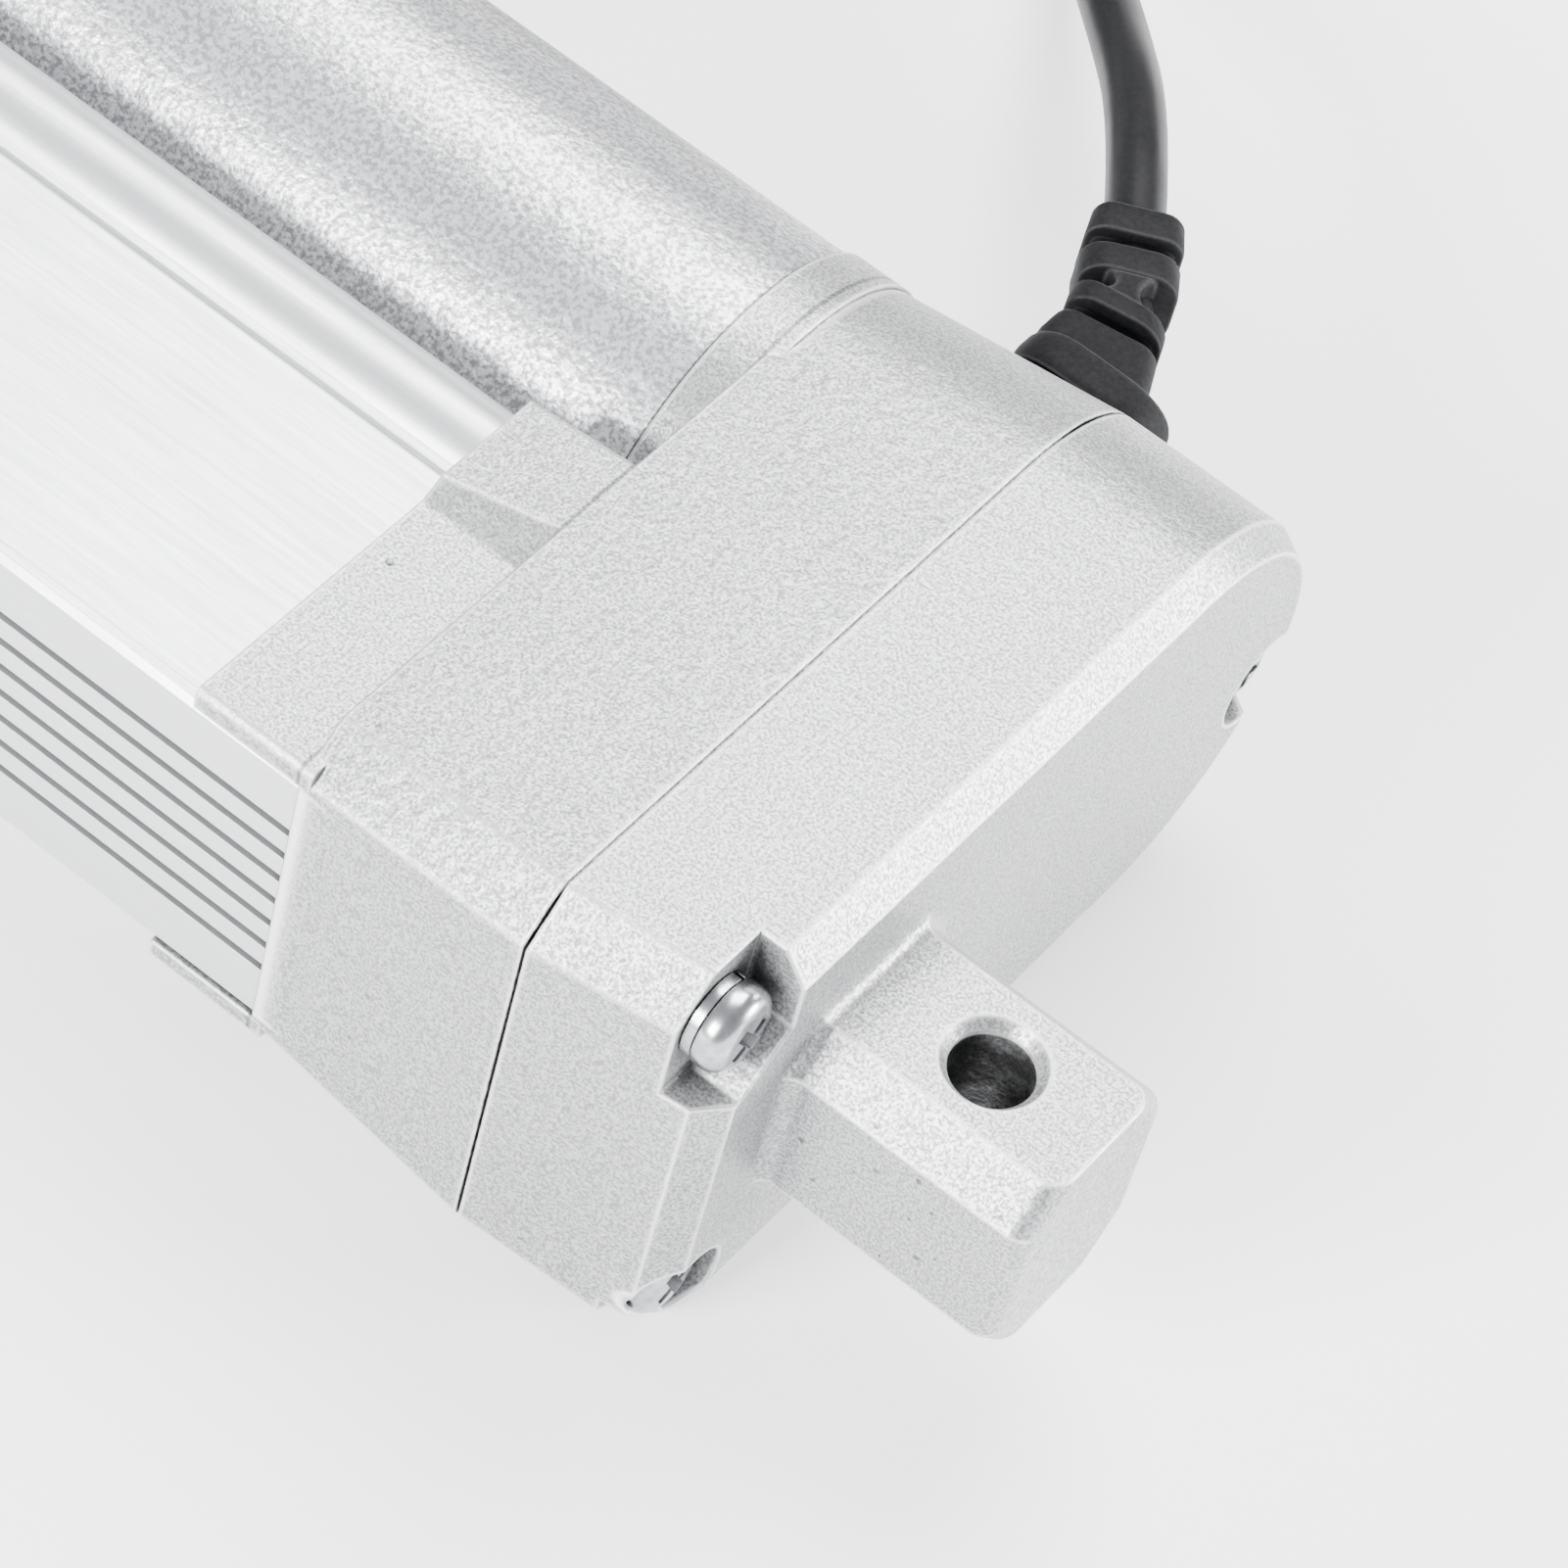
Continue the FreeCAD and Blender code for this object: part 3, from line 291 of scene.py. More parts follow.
def make_world():
    """Even studio light that falls off low on the motor side, as a dark end of a room does."""
    world = bpy.data.worlds.new("studio")
    world.use_nodes = True
    tree = world.node_tree
    back = tree.nodes["Background"]
    place = add_node(tree, "ShaderNodeTexCoord")
    toward = add_node(tree, "ShaderNodeVectorMath", operation="DOT_PRODUCT")
    toward.inputs[1].default_value = dark_side
    tree.links.new(place.outputs["Generated"], toward.inputs[0])
    fall = add_range(tree, toward.outputs["Value"], *dark_side_range)
    colour = add_ramp(tree, fall, [(0.0, room_colour), (1.0, room_dark_colour)])
    tree.links.new(colour, back.inputs["Color"])
    back.inputs["Strength"].default_value = room_strength
    bpy.context.scene.world = world


# Material tools

def start_material(name):
    material = bpy.data.materials.new(name)
    material.use_nodes = True
    tree = material.node_tree
    shader = tree.nodes["Principled BSDF"]
    return material, tree, shader


def add_node(tree, kind, **values):
    node = tree.nodes.new(kind)
    for key, value in values.items():
        if key in node.inputs:
            node.inputs[key].default_value = value
        else:
            setattr(node, key, value)
    return node


def object_coordinates(tree, stretch=EVEN):
    place = add_node(tree, "ShaderNodeTexCoord")
    mapping = add_node(tree, "ShaderNodeMapping")
    mapping.inputs["Scale"].default_value = stretch
    tree.links.new(place.outputs["Object"], mapping.inputs["Vector"])
    return mapping.outputs["Vector"]


def add_noise(tree, coordinates, scale, detail=3.0, roughness=0.5):
    node = add_node(tree, "ShaderNodeTexNoise", Scale=scale, Detail=detail, Roughness=roughness)
    tree.links.new(coordinates, node.inputs["Vector"])
    return node.outputs["Fac"]


def add_ramp(tree, source, stops):
    node = add_node(tree, "ShaderNodeValToRGB")
    ramp = node.color_ramp
    while len(ramp.elements) < len(stops):
        ramp.elements.new(0.5)
    for element, (place, colour) in zip(ramp.elements, stops):
        element.position = place
        if isinstance(colour, (int, float)):
            colour = (colour, colour, colour)
        element.color = (*colour, 1.0)
    tree.links.new(source, node.inputs["Fac"])
    return node.outputs["Color"]


def add_range(tree, source, low, high):
    """Share from 0 to 1 of the way between two values."""
    node = add_node(tree, "ShaderNodeMapRange")
    node.inputs["From Min"].default_value = low
    node.inputs["From Max"].default_value = high
    tree.links.new(source, node.inputs["Value"])
    return node.outputs["Result"]


def add_mix(tree, share, first, second, kind="MIX"):
    node = add_node(tree, "ShaderNodeMix", data_type="RGBA", blend_type=kind)
    for name, value in (("Factor", share), ("A", first), ("B", second)):
        socket = node.inputs[name]
        if isinstance(value, bpy.types.NodeSocket):
            tree.links.new(value, socket)
        elif isinstance(value, (int, float)) and socket.type == "RGBA":
            socket.default_value = (value, value, value, 1.0)
        else:
            socket.default_value = value
    return node.outputs["Result"]


def multiply(tree, colour, by):
    return add_mix(tree, 1.0, colour, by, "MULTIPLY")


def add_math(tree, operation, *values):
    """Result of one operation on sockets and numbers."""
    node = add_node(tree, "ShaderNodeMath", operation=operation)
    for socket, value in zip(node.inputs, values):
        if isinstance(value, bpy.types.NodeSocket):
            tree.links.new(value, socket)
        else:
            socket.default_value = value
    return node.outputs["Value"]


def add_bump(tree, height, strength, distance, under):
    node = add_node(tree, "ShaderNodeBump", Strength=strength, Distance=distance)
    tree.links.new(height, node.inputs["Height"])
    tree.links.new(under, node.inputs["Normal"])
    return node.outputs["Normal"]


def soft_edges(tree, radius):
    node = add_node(tree, "ShaderNodeBevel", samples=4)
    node.inputs["Radius"].default_value = radius
    return node.outputs["Normal"]


def shades(tone, change, light_share=1.0):
    """Darker and lighter tone beside a given one."""
    dark = tuple(t * (1.0 - change) for t in tone)
    light = tuple(min(1.0, t * (1.0 + change * light_share)) for t in tone)
    return dark, light


def finish_material(tree, shader, colour, roughness, normal=None, metallic=0.0):
    tree.links.new(colour, shader.inputs["Base Color"])
    if isinstance(roughness, bpy.types.NodeSocket):
        tree.links.new(roughness, shader.inputs["Roughness"])
    else:
        shader.inputs["Roughness"].default_value = roughness
    shader.inputs["Metallic"].default_value = metallic
    if normal is not None:
        tree.links.new(normal, shader.inputs["Normal"])


# Marks, painted shade and painted highlights on surfaces

def shade_hollows(tree, colour, reach, depth):
    """Darkens what lies deep between walls with painted shade."""
    node = add_node(tree, "ShaderNodeAmbientOcclusion", samples=12)
    node.inputs["Distance"].default_value = reach * MM
    closed, open_air = hollow_range
    return multiply(tree, colour, add_ramp(tree, node.outputs["AO"], [(closed, depth), (open_air, 1.0)]))


def shade_bore(tree, at, colour):
    """Darkens the wall of the pivot bore with painted shade, uneven with a few lighter patches."""
    flat = add_node(tree, "ShaderNodeVectorMath", operation="MULTIPLY")
    flat.inputs[1].default_value = (1.0, 1.0, 0.0)
    tree.links.new(at, flat.inputs[0])
    out = add_node(tree, "ShaderNodeVectorMath", operation="LENGTH")
    tree.links.new(flat.outputs["Vector"], out.inputs[0])
    inside, outside = (pivot_radius + 0.04) * MM, (pivot_radius + 0.12) * MM
    wall = add_range(tree, out.outputs["Value"], inside, outside)
    bore_shade_patches = add_ramp(tree, add_noise(tree, at, 420.0, 3.0), [(0.48, 0.10), (0.64, 0.40)])
    return add_mix(tree, wall, multiply(tree, colour, bore_shade_patches), colour)


def taken_apart(tree, at):
    """Coordinates as separate X, Y and Z."""
    apart = add_node(tree, "ShaderNodeSeparateXYZ")
    tree.links.new(at, apart.inputs["Vector"])
    return apart


def away_from(tree, apart, place):
    """Distance along X from a place in millimetres."""
    return add_math(tree, "ABSOLUTE", add_math(tree, "SUBTRACT", apart.outputs["X"], place * MM))


def shade_joint(tree, at, colour, open_colour):
    """Line where the cover meets the front half: dark and ragged down the side; on top its groove is
    lightened with painted light.
    """
    apart = taken_apart(tree, at)
    away = away_from(tree, apart, case_joint - joint_offset)
    noise = add_noise(tree, at, 900.0, 2.0)
    ragged = add_math(tree, "MULTIPLY_ADD", noise, -joint_ragged * MM, away)
    line = add_range(tree, ragged, joint_side_range[0] * MM, joint_side_range[1] * MM)
    side = multiply(tree, colour, add_ramp(tree, line, [(0.0, joint_side_shade), (1.0, 1.0)]))
    fine = add_range(tree, away, joint_top_range[0] * MM, joint_top_range[1] * MM)
    top = add_mix(tree, fine, multiply(tree, open_colour, joint_top_light_gain), colour)
    low, full = ((case_half - below) * MM for below in joint_top_below)
    return add_mix(tree, add_range(tree, apart.outputs["Z"], low, full), side, top)


def shade_seam(tree, at, colour, place, depth):
    """Thin dark line around the form at one place along its length."""
    away = away_from(tree, taken_apart(tree, at), place)
    line = add_range(tree, away, seam_range[0] * MM, seam_range[1] * MM)
    return multiply(tree, colour, add_ramp(tree, line, [(0.0, depth), (1.0, 1.0)]))


def shade_pits(tree, at, colour):
    """Small dark pits of the casting on the pivot lug."""
    for x, y, z, size in lug_pits:
        far = add_node(tree, "ShaderNodeVectorMath", operation="DISTANCE")
        tree.links.new(at, far.inputs[0])
        far.inputs[1].default_value = (x * MM, y * MM, z * MM)
        spot = add_range(tree, far.outputs["Value"], pit_core_share * size * MM, size * MM)
        colour = multiply(tree, colour, add_ramp(tree, spot, [(0.0, pit_shade), (1.0, 1.0)]))
    return colour


def paint_edge_highlights(tree, colour, reach, strength):
    """Lightens sharp outward edges with a painted highlight."""
    rounded = add_node(tree, "ShaderNodeBevel", samples=4)
    rounded.inputs["Radius"].default_value = reach * MM
    surface = add_node(tree, "ShaderNodeNewGeometry")
    dot = add_node(tree, "ShaderNodeVectorMath", operation="DOT_PRODUCT")
    tree.links.new(rounded.outputs["Normal"], dot.inputs[0])
    tree.links.new(surface.outputs["Normal"], dot.inputs[1])
    turned = add_range(tree, dot.outputs["Value"], *edge_highlight_turn_range)
    edge = add_ramp(tree, turned, [(0.0, strength), (1.0, 0.0)])
    hollow = add_node(tree, "ShaderNodeAmbientOcclusion", samples=8)
    hollow.inputs["Distance"].default_value = edge_highlight_outward_reach * MM
    outward = add_range(tree, hollow.outputs["AO"], *edge_highlight_outward_range)
    return add_mix(tree, add_math(tree, "MULTIPLY", edge, outward), colour, edge_highlight_colour)


def add_specks(tree, at, colour, normal):
    """Rare small pits of the casting all over it."""
    specks = add_node(tree, "ShaderNodeTexVoronoi", feature="F1", Scale=170.0, Randomness=1.0)
    tree.links.new(at, specks.inputs["Vector"])
    near = add_ramp(tree, specks.outputs["Distance"], [(0.035, 0.0), (0.065, 1.0)])
    rare = add_ramp(tree, add_noise(tree, at, 90.0, 1.0), [(0.55, 1.0), (0.59, 0.0)])
    keep = add_mix(tree, 1.0, near, rare, "LIGHTEN")
    colour = multiply(tree, colour, add_ramp(tree, keep, [(0.0, 0.35), (1.0, 1.0)]))
    return colour, add_bump(tree, keep, 0.6, 0.00012, normal)


# Materials

def paint(name, tone, grain, grain_size, edge, metallic, roughness, casting):
    """Silver paint: fine grain of light and dark flakes over a slightly uneven form."""
    material, tree, shader = start_material(name)
    at = object_coordinates(tree)
    flakes = add_noise(tree, at, 1.0 / (grain_size * MM), 2.0, 0.6)
    cloud = add_noise(tree, at, 55.0, 2.0)
    dark, light = shades(tone, grain)
    colour = add_ramp(tree, flakes, [(0.40, dark), (0.50, tone), (0.60, light)])
    colour = multiply(tree, colour, add_ramp(tree, cloud, [(0.3, 0.93), (0.7, 1.0)]))
    peel = add_noise(tree, at, 1100.0, 2.0)
    normal = soft_edges(tree, edge * MM)
    normal = add_bump(tree, peel, 0.60, 0.00016, normal)
    normal = add_bump(tree, flakes, 0.50, 0.00007, normal)
    if casting:
        colour, normal = add_specks(tree, at, colour, normal)
        colour = shade_bore(tree, at, colour)
        colour = shade_pits(tree, at, colour)
    rough = add_ramp(tree, flakes, [(0.3, roughness + 0.08), (0.7, roughness - 0.06)])
    # Colour with painted edge highlights but without painted shade in hollows, used in the joint's
    # groove on top
    open_colour = paint_edge_highlights(tree, colour, edge_highlight_reach, 1.0)
    depth = casting_hollow_shade if casting else tube_hollow_shade
    # Painted shade in hollows
    colour = shade_hollows(tree, colour, paint_hollow_reach, depth)
    # Painted highlights on sharp outward edges
    colour = paint_edge_highlights(tree, colour, edge_highlight_reach, 1.0)
    if casting:
        # Dark joint line down the side; painted light in the joint's groove on top
        colour = shade_joint(tree, at, colour, open_colour)
        colour = shade_seam(tree, at, colour, case_seam, case_seam_shade)
    else:
        colour = shade_seam(tree, at, colour, collar_seam, collar_seam_shade)
    finish_material(tree, shader, colour, rough, normal, metallic)
    return material


def metal(name, tone, roughness, edge=0.15, stretch=EVEN, scale=1500.0, contrast=0.12, metallic=1.0,
          hollows=0.0):
    """Bare or plated metal with fine marks along the stretched direction."""
    material, tree, shader = start_material(name)
    at = object_coordinates(tree, stretch)
    marks = add_noise(tree, at, scale, 4.0, 0.6)
    dark, light = shades(tone, contrast, 0.6)
    colour = add_ramp(tree, marks, [(0.3, dark), (0.7, light)])
    # Painted shade in hollows
    if hollows:
        colour = shade_hollows(tree, colour, hollows, metal_hollow_shade)
    dull = min(1.0, roughness + 0.07)
    bright = max(0.02, roughness - 0.05)
    rough = add_ramp(tree, marks, [(0.3, dull), (0.7, bright)])
    normal = add_bump(tree, marks, 0.15, 0.00003, soft_edges(tree, edge * MM))
    finish_material(tree, shader, colour, rough, normal, metallic)
    return material


def moulded(name, tone, roughness, grain=0.10, scale=1400.0, edge=0.12, strength=0.18, gloss=0.5,
            rim=0.0):
    """Plastic or rubber with a fine moulded grain."""
    material, tree, shader = start_material(name)
    at = object_coordinates(tree)
    fine = add_noise(tree, at, scale, 3.0, 0.6)
    broad = add_noise(tree, at, 120.0, 2.0)
    dark, light = shades(tone, grain)
    colour = add_ramp(tree, fine, [(0.3, dark), (0.7, light)])
    colour = multiply(tree, colour, add_ramp(tree, broad, [(0.3, 0.9), (0.7, 1.0)]))
    rough = add_ramp(tree, broad, [(0.3, roughness + 0.06), (0.7, roughness - 0.04)])
    # Painted shade in hollows
    colour = shade_hollows(tree, colour, moulded_hollow_reach, moulded_hollow_shade)
    # Painted highlight on the rims of edges
    if rim:
        colour = paint_edge_highlights(tree, colour, 0.4, rim)
    normal = add_bump(tree, fine, strength, 0.00004, soft_edges(tree, edge * MM))
    finish_material(tree, shader, colour, rough, normal)
    shader.inputs["Specular IOR Level"].default_value = gloss
    return material


def make_materials():
    return {
        "silver_paint": paint(
            "casting_silver_paint", (0.375, 0.38, 0.385), 0.36, 0.26, 0.40, 0.58, 0.42, True),
        "tube_paint": paint(
            "motor_tube_silver_paint", (0.49, 0.495, 0.51), 0.40, 0.42, 0.25, 0.60, 0.36, False),
        "anodised_aluminium": metal(
            "satin_anodised", (0.61, 0.62, 0.63), 0.36, 0.12, (0.04, 1.0, 1.0), 2400.0, 0.05, 0.55, 1.6),
        "zinc_steel": metal(
            "bright_zinc", (0.42, 0.43, 0.44), 0.24, 0.10, scale=700.0, contrast=0.40, hollows=1.6),
        "polished_steel": metal(
            "polished_rod", (0.80, 0.81, 0.82), 0.10, 0.3, (0.03, 1.0, 1.0), 1800.0, 0.04),
        "bearing_steel": metal("ground_steel", (0.62, 0.63, 0.65), 0.25, 0.1),
        "core_steel": metal(
            "stacked_sheet", (0.34, 0.34, 0.36), 0.42, 0.05, (18.0, 0.2, 0.2), 160.0, 0.25),
        "sintered_bronze": metal(
            "oiled_bronze", (0.55, 0.40, 0.24), 0.40, 0.1, scale=3200.0, contrast=0.25),
        "brass": metal("machined_brass", (0.80, 0.62, 0.30), 0.24, 0.1),
        "winding_copper": metal("wound_copper", (0.72, 0.34, 0.15), 0.28, 0.05, contrast=0.35),
        "magnet_ferrite": moulded("ferrite", (0.13, 0.13, 0.14), 0.55, 0.2),
        "carbon": moulded("pressed_carbon", (0.06, 0.06, 0.06), 0.6, 0.25),
        "acetal": moulded("white_acetal", (0.84, 0.83, 0.79), 0.38, 0.04),
        "nylon": moulded("natural_nylon", (0.80, 0.77, 0.68), 0.42, 0.06),
        "black_plastic": moulded("black_plastic", (0.035, 0.035, 0.037), 0.42, 0.2),
        "circuit_board": moulded("green_board", (0.03, 0.20, 0.08), 0.30, 0.3, 500.0),
        "black_rubber": moulded(
            "relief_rubber", (0.012, 0.012, 0.013), 0.60, 0.30, 2200.0, 0.15, 0.35, 0.07, 0.05),
        "cable_sheath": moulded(
            "cable_sheath", (0.013, 0.013, 0.014), 0.34, 0.18, 1800.0, 0.05, 0.12, 0.14),
        "lead_sheath": moulded("lead_sheath", (0.48, 0.04, 0.03), 0.36, 0.08),
    }


def dress_solids(looks):
    """Gives every solid of the frame its material by the record's slot."""
    slots = {part["node"]: part["material_slot"] for part in frame["record"]["subparts"]}
    for node, slot in slots.items():
        solid = bpy.data.objects[node]
        look = looks["tube_paint"] if node in painted_tubes else looks[slot]
        if not solid.data.materials:
            solid.data.materials.append(look)
        for index in range(len(solid.data.materials)):
            solid.data.materials[index] = look


# Mesh tools

def mesh_from(name, points, faces, unit=MM):
    mesh = bpy.data.meshes.new(name)
    mesh.from_pydata([tuple(c * unit for c in p) for p in points], [], faces)
    form = bmesh.new()
    form.from_mesh(mesh)
    bmesh.ops.recalc_face_normals(form, faces=form.faces)
    form.to_mesh(mesh)
    form.free()
    return mesh


def place_mesh(name, mesh, look, body="housing", sharp_degrees=35.0):
    """Object of a mesh, smooth but for its sharp edges, that rides on a body."""
    item = bpy.data.objects.new(name, mesh)
    bpy.context.scene.collection.objects.link(item)
    mesh.materials.append(look)
    mesh.shade_smooth()
    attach(item, body)
    mesh.set_sharp_from_angle(angle=math.radians(sharp_degrees))
    return item


def joined(name, meshes):
    """One mesh made of several."""
    whole = bmesh.new()
    for mesh in meshes:
        whole.from_mesh(mesh)
        bpy.data.meshes.remove(mesh)
    result = bpy.data.meshes.new(name)
    whole.to_mesh(result)
    whole.free()
    return result


def cut_by(item, cutter_mesh):
    """Mesh of an object with another mesh cut out of it."""
    cutter = bpy.data.objects.new("cutter", cutter_mesh)
    bpy.context.scene.collection.objects.link(cutter)
    cut = item.modifiers.new("recess", "BOOLEAN")
    cut.operation = "DIFFERENCE"
    cut.solver = "EXACT"
    cut.object = cutter
    graph = bpy.context.evaluated_depsgraph_get()
    mesh = bpy.data.meshes.new_from_object(item.evaluated_get(graph))
    bpy.data.objects.remove(cutter)
    return mesh


def circle(steps, radius, start=0.0):
    """Points of a circle as pairs."""
    turns = (start + 2 * math.pi * step / steps for step in range(steps))
    return [(radius * math.cos(turn), radius * math.sin(turn)) for turn in turns]


def skin(points, faces, base, levels, count):
    """Faces over rows of points, closed at both ends."""
    for level in range(levels - 1):
        for number in range(count):
            a = base + level * count + number
            b = base + level * count + (number + 1) % count
            faces.append((a, b, b + count, a + count))
    faces.append(tuple(base + number for number in reversed(range(count))))
    last = base + (levels - 1) * count
    faces.append(tuple(last + number for number in range(count)))


# Cable and its coil

def turn_place(number, share):
    """Radius and height of the coil at a share of a turn."""
    now, after = coil_places[number], coil_places[number + 1]
    part = max(0.0, (share - (1.0 - coil_change)) / coil_change)
    part = part * part * (3.0 - 2.0 * part)
    radius = coil_radii[now[0]] + (coil_radii[after[0]] - coil_radii[now[0]]) * part
    layer = now[1] + (after[1] - now[1]) * part
    return radius, coil_floor + cable_diameter * (0.5 + layer)


def cable_points():
    """Route to the floor, then the turns of the coil by loop."""
    points = [Vector(p) for p in cable_route[:-1]]
    x, y = coil_centre
    join = Vector(cable_route[-1])
    start = math.atan2(join.y - y, join.x - x)
    turns = len(coil_places) - 1
    for step in range(turns * coil_turn_steps + coil_last_steps):
        number = min(step // coil_turn_steps, turns - 1)
        share = step / coil_turn_steps - number
        radius, z = turn_place(number, min(share, 1.0))
        radius *= coil_polygon_gain
        angle = start + 2.0 * math.pi * step / coil_turn_steps
        points.append(Vector((x + radius * math.cos(angle), y + radius * math.sin(angle), z)))
    return points


def make_cable(look):
    points = cable_points()
    curve = bpy.data.curves.new("cable_run", "CURVE")
    curve.dimensions = "3D"
    spline = curve.splines.new("NURBS")
    spline.points.add(len(points) - 1)
    for target, point in zip(spline.points, points):
        target.co = (*(point * MM), 1.0)
    spline.order_u = 3
    spline.use_endpoint_u = True
    spline.resolution_u = curve_steps
    curve.bevel_depth = cable_diameter * MM / 2
    curve.bevel_resolution = curve_steps
    curve.use_fill_caps = True
    curve.materials.append(look)
    item = bpy.data.objects.new("cable_run", curve)
    bpy.context.scene.collection.objects.link(item)
    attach(item, "housing")
    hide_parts("cable", "cable_coil")
    return item


# Strain relief

def rounded_section(half_w, half_h, corner, steps=ring_corner_steps):
    """Points of a rounded oblong, anticlockwise from its right side."""
    ring = []
    for quarter in range(4):
        centre_u = (half_w - corner) * (1 if quarter in (0, 3) else -1)
        centre_w = (half_h - corner) * (1 if quarter in (0, 1) else -1)
        for step in range(steps):
            angle = math.radians(quarter * 90 + step * 90 / (steps - 1))
            u = centre_u + corner * math.cos(angle)
            w = centre_w + corner * math.sin(angle)
            ring.append((u, w))
    return ring


def across_sleeve(station, section):
    """Places a section across the sleeve's middle line."""
    x, y, turn = station[:3]
    lean = math.radians(turn)
    return [(x + u * math.cos(lean), y + u * math.sin(lean), relief_middle_z + w) for u, w in section]


def relief_ring(station, inset, width_share, height_share=1.0, roundness=plain_roundness):
    """Rounded oblong ring of points around the sleeve's middle line."""
    wide, high = station[3:]
    half_w = wide * width_share / 2 - inset
    half_h = high * height_share / 2 - inset
    section = rounded_section(half_w, half_h, roundness * min(half_w, half_h))
    return across_sleeve(station, section)


def station_at(place):
    """Station of the sleeve's line between two of its numbers."""
    index = min(int(place), len(relief_line) - 2)
    pair = zip(relief_line[index], relief_line[index + 1])
    return tuple(a + (b - a) * (place - index) for a, b in pair)


def relief_block(points, faces, start, end, stops, **form):
    """One block of the sleeve between two places; each stop has a share, an inset and a width."""
    base = len(points)
    for share, inset, width in stops:
        station = station_at(start + (end - start) * share)
        points.extend(relief_ring(station, inset, width, **form))
    skin(points, faces, base, len(stops), 4 * ring_corner_steps)


def plain_stops(soft):
    """Stops of a block of full width with soft ends."""
    insets = ((0.0, 1.0), (0.04, 0.3), (0.12, 0.0), (0.5, 0.0), (0.88, 0.0), (0.96, 0.3), (1.0, 1.0))
    return [(share, soft * part, 1.0) for share, part in insets]


def relief_sleeve(look):
    """Sleeve of five blocks with two slots and a neck between its rings."""
    points, faces = [], []
    rib = [(share, 0.0, width) for share, width in rib_widths]
    slot = [(share, 0.0, slot_width_share) for share in (0.0, 0.5, 1.0)]
    body, ring, end = plain_stops(body_edge), plain_stops(ring_edge), plain_stops(end_edge)
    relief_block(points, faces, 0.0, 2.0, body)
    relief_block(points, faces, 2.0, 3.0, slot, height_share=slot_height_share)
    relief_block(points, faces, 3.0, 4.0, ring, roundness=ring_roundness)
    relief_block(points, faces, 4.0, 5.0, rib, height_share=rib_height_share)
    relief_block(points, faces, 5.0, 6.0, ring, roundness=ring_roundness)
    relief_block(points, faces, 6.0, 7.0, slot, height_share=slot_height_share)
    relief_block(points, faces, 7.0, 8.0, end, roundness=end_roundness)
    sleeve = place_mesh("relief_sleeve", mesh_from("relief_sleeve", points, faces), look)
    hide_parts("cable_relief")


def relief_flange(look):
    """Flange curved about the motor axis that lies on the case."""
    points, faces = [], []
    for share, inset in relief_flange_rows:
        radius = case_half + relief_flange_lift + relief_flange_thick * share
        half_w = relief_flange_half - inset
        half_h = relief_flange_high - inset
        for u, w in rounded_section(half_w, half_h, relief_flange_corner, relief_flange_steps):
            z = relief_middle_z + w
            y = motor_axis_y - math.sqrt(radius * radius - z * z)
            points.append((relief_flange_x + u, y, z))
    skin(points, faces, 0, len(relief_flange_rows), 4 * relief_flange_steps)
    flange = place_mesh("relief_flange", mesh_from("relief_flange", points, faces), look)


def cable_inside(look):
    """Cable where it shows in the slots of the sleeve."""
    points, faces = [], []
    section = circle(round_steps, inner_cable_share * cable_diameter / 2)
    for step in range(inner_cable_stations):
        station = station_at(inner_cable_start + inner_cable_step * step)
        points.extend(across_sleeve(station, section))
    skin(points, faces, 0, inner_cable_stations, round_steps)
    inside = place_mesh("cable_in_relief", mesh_from("cable_in_relief", points, faces), look)


# Screws

def lathe(profile, steps):
    """Surface of revolution about X from (x, radius) pairs, closed at both ends."""
    points, faces = [], []
    for x, radius in profile:
        points.extend((x, u, w) for u, w in circle(steps, radius))
    skin(points, faces, 0, len(profile), steps)
    return points, faces


def cross_cutter():
    """Tapered four-winged cutter of a cross recess, pointing along +X."""
    points, faces = [], []
    for x, wide, long in cross_ends:
        for quarter in range(4):
            turn = math.radians(90 * quarter)
            for u, v in ((wide, wide), (long, wide), (long, -wide)):
                y = u * math.cos(turn) + v * math.sin(turn)
                z = -u * math.sin(turn) + v * math.cos(turn)
                points.append((x, y, z))
    skin(points, faces, 0, len(cross_ends), len(points) // len(cross_ends))
    return mesh_from("cross", points, faces, 1.0)


def pan_screw_mesh(turn):
    """Pan-head screw along X: cross recess in its domed head, plain shank behind it."""
    radius, high, wall = screw_head_radius, screw_head_high, screw_head_wall
    profile = [(screw_long, screw_radius * screw_point_share), (screw_long - screw_point, screw_radius)]
    profile += [(0.0, screw_radius), (0.0, radius * screw_head_rim_share), (-screw_head_rim, radius)]
    for step in range(dome_steps + 1):
        angle = math.radians(dome_turn * step / dome_steps)
        out = radius * math.cos(angle) ** dome_power
        profile.append((-wall - (high - wall) * math.sin(angle), out))
    profile.append((-high, radius * screw_head_middle_share))
    points, faces = lathe(profile, lathe_steps)
    item = bpy.data.objects.new("screw_maker", mesh_from("cover_screw", points, faces, 1.0))
    bpy.context.scene.collection.objects.link(item)
    cutter = cross_cutter()
    cutter.transform(Matrix.Translation((-high, 0.0, 0.0)) @ Matrix.Rotation(turn, 4, "X"))
    screw = cut_by(item, cutter)
    bpy.data.objects.remove(item)
    screw.transform(Matrix.Scale(MM, 4))
    return screw


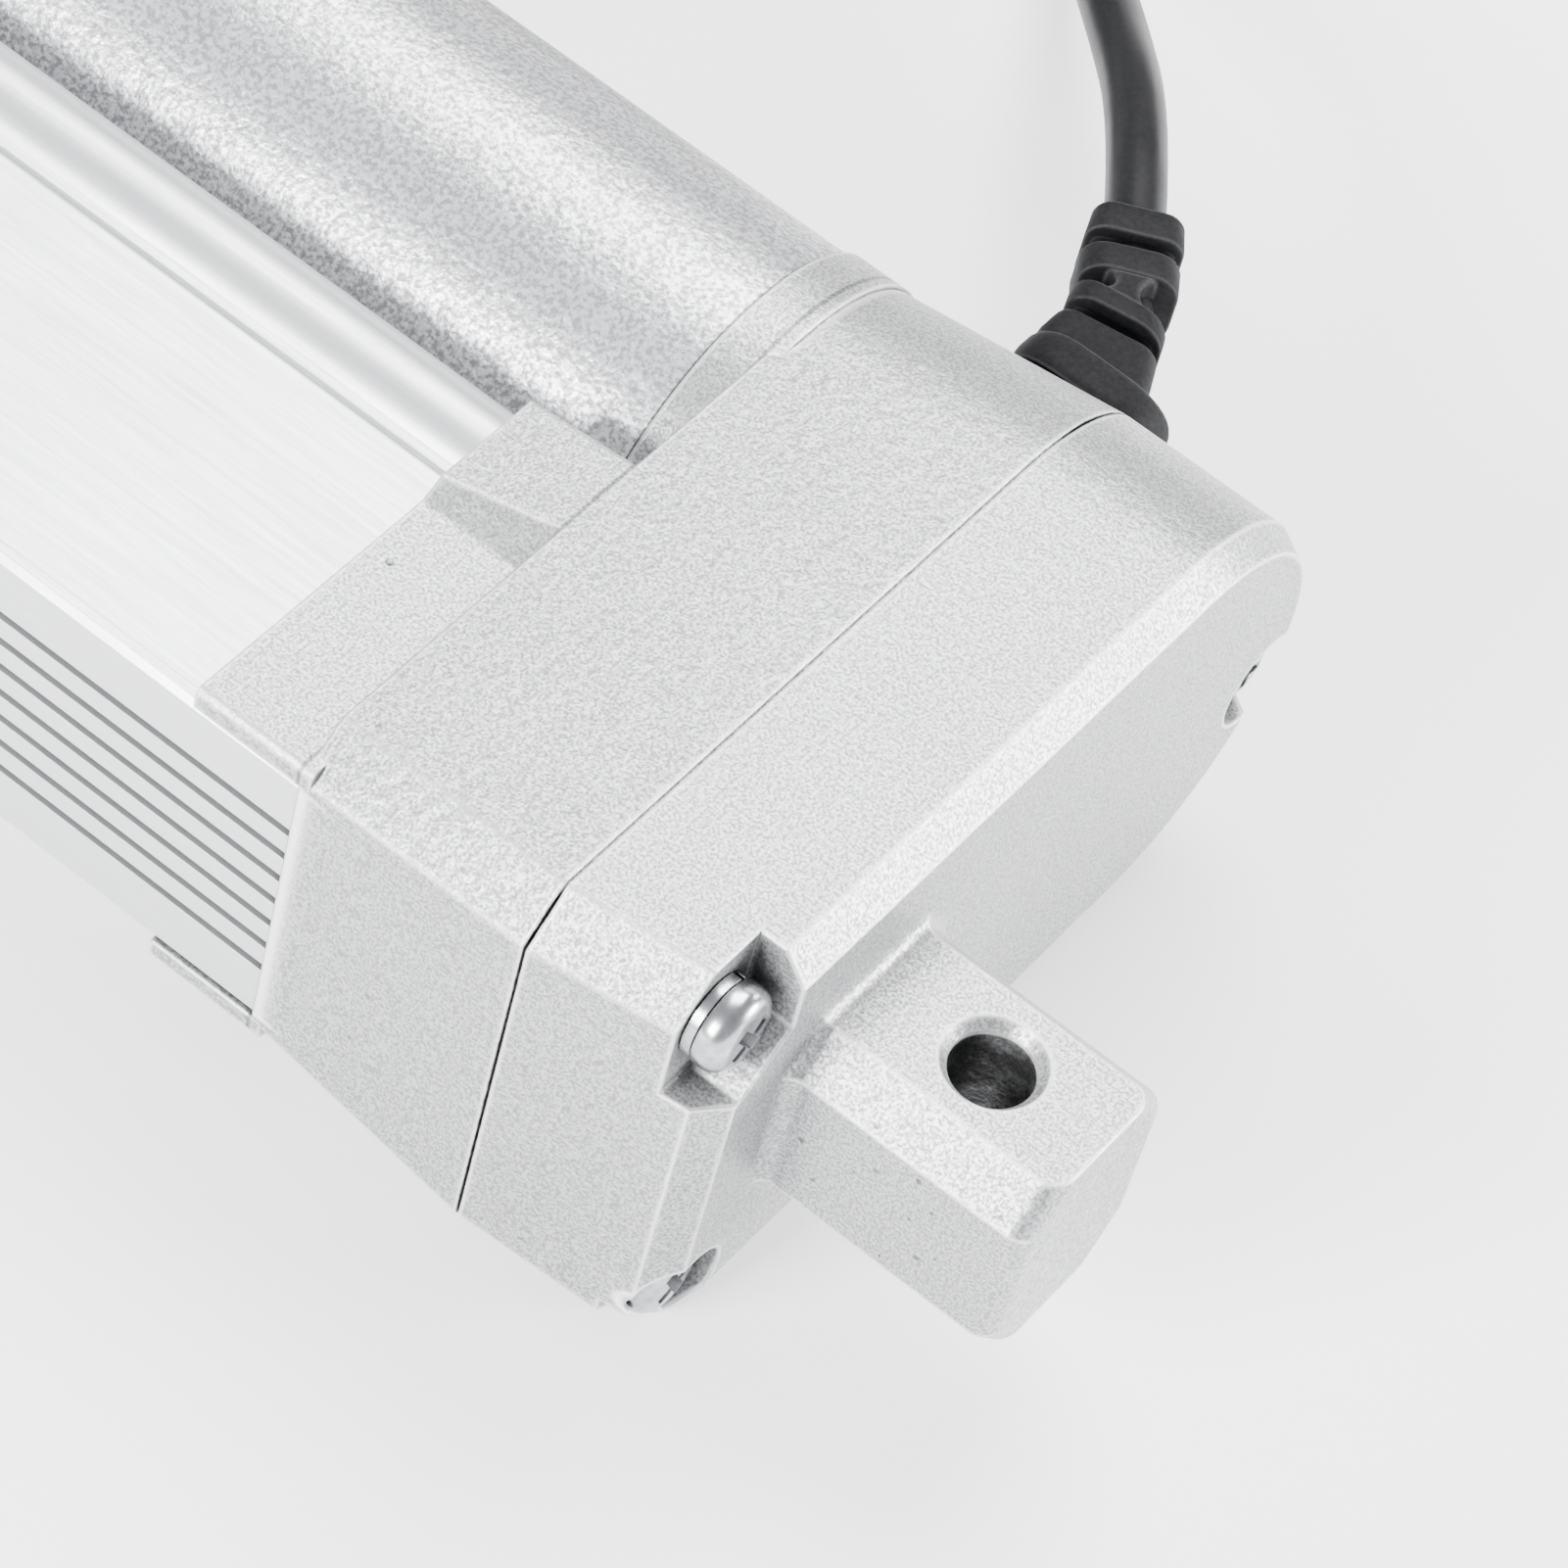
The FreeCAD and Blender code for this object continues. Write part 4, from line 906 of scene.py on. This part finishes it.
def washer_mesh(turn):
    """Split spring washer."""
    gap = washer_split / washer_radius
    inner = screw_radius + washer_play
    edge = washer_radius - washer_edge
    low, high = washer_edge_rise, washer_thick - washer_edge_rise
    section = [(0.0, inner), (0.0, edge), (low, washer_radius)]
    section += [(high, washer_radius), (washer_thick, edge), (washer_thick, inner)]
    points, faces = [], []
    for step in range(washer_steps + 1):
        angle = turn + gap / 2 + (2 * math.pi - gap) * step / washer_steps
        for x, radius in section:
            points.append((-x, radius * math.cos(angle), radius * math.sin(angle)))
    skin(points, faces, 0, washer_steps + 1, len(section))
    return mesh_from("cover_washer", points, faces)


def moved(mesh, *place):
    mesh.transform(Matrix.Translation(Vector(place) * MM))
    return mesh


def make_cover_screws(look):
    screws, washers = [], []
    for (y, z), degrees in zip(screw_places, screw_turns):
        turn = math.radians(degrees)
        screws.append(moved(pan_screw_mesh(turn), screw_seat - washer_thick, y, z))
        washers.append(moved(washer_mesh(turn + washer_turn), screw_seat, y, z))
    sets = (
        ("cover_screw_set", screws, "cover_screws"),
        ("cover_washer_set", washers, "cover_spring_washers"),
    )
    for name, meshes, node in sets:
        item = place_mesh(name, joined(name, meshes), look, sharp_degrees=40.0)
        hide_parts(node)


def thread_radius_at(x, angle):
    """Radius of the lead screw's trapezoidal thread at a place along it and an angle about it."""
    phase = (x / thread_lead - angle / (2 * math.pi)) % 1.0
    rise = min(max((abs(phase - 0.5) - thread_root) / thread_flank, 0.0), 1.0)
    return lead_screw_radius - thread_deep * (1.0 - rise)


def make_lead_screw(look):
    """Lead screw with its journal, retainer groove, thread and turned tip."""
    angles = [2 * math.pi * step / round_steps for step in range(round_steps)]
    rows = [(x, [radius] * round_steps) for x, radius in lead_screw_ends]
    count = round((thread_end - thread_start) / thread_lead * thread_rows)
    for number in range(count + 1):
        x = thread_start + (thread_end - thread_start) * number / count
        rows.append((x, [thread_radius_at(x, angle) for angle in angles]))
    rows.append((thread_end, [screw_tip_radius] * round_steps))
    rows.append((screw_tip, [screw_tip_radius] * round_steps))
    points, faces = [], []
    for x, radii in rows:
        for angle, radius in zip(angles, radii):
            points.append((x, radius * math.cos(angle), radius * math.sin(angle)))
    skin(points, faces, 0, len(rows), round_steps)
    name = "lead_screw_threaded"
    screw = place_mesh(name, mesh_from(name, points, faces), look, "screw")
    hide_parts("lead_screw")


# Floor

def make_floor():
    low = floor_level * MM - floor_clearance
    mesh = bpy.data.meshes.new("studio_floor")
    sides = ((-1, -1), (1, -1), (1, 1), (-1, 1))
    corners = [(floor_half * u, floor_half * v, low) for u, v in sides]
    mesh.from_pydata(corners, [], [(0, 1, 2, 3)])
    floor = bpy.data.objects.new("studio_floor", mesh)
    bpy.context.scene.collection.objects.link(floor)
    material, tree, shader = start_material("pale_floor")
    cloud = add_noise(tree, object_coordinates(tree), 3.0, 2.0)
    colour = add_ramp(tree, cloud, [(0.3, (0.90, 0.90, 0.91)), (0.7, (0.92, 0.92, 0.93))])
    finish_material(tree, shader, colour, 0.9)
    shader.inputs["Emission Color"].default_value = (1.0, 1.0, 1.0, 1.0)
    shader.inputs["Emission Strength"].default_value = floor_glow
    mesh.materials.append(material)


make_camera()
make_world()
for name, place, size, power in studio_lights:
    make_light(name, place, size, power)
make_floor()
looks = make_materials()
dress_solids(looks)
cable = make_cable(looks["cable_sheath"])
relief_sleeve(looks["black_rubber"])
relief_flange(looks["black_rubber"])
cable_inside(looks["cable_sheath"])
make_cover_screws(looks["zinc_steel"])
make_lead_screw(looks["bearing_steel"])
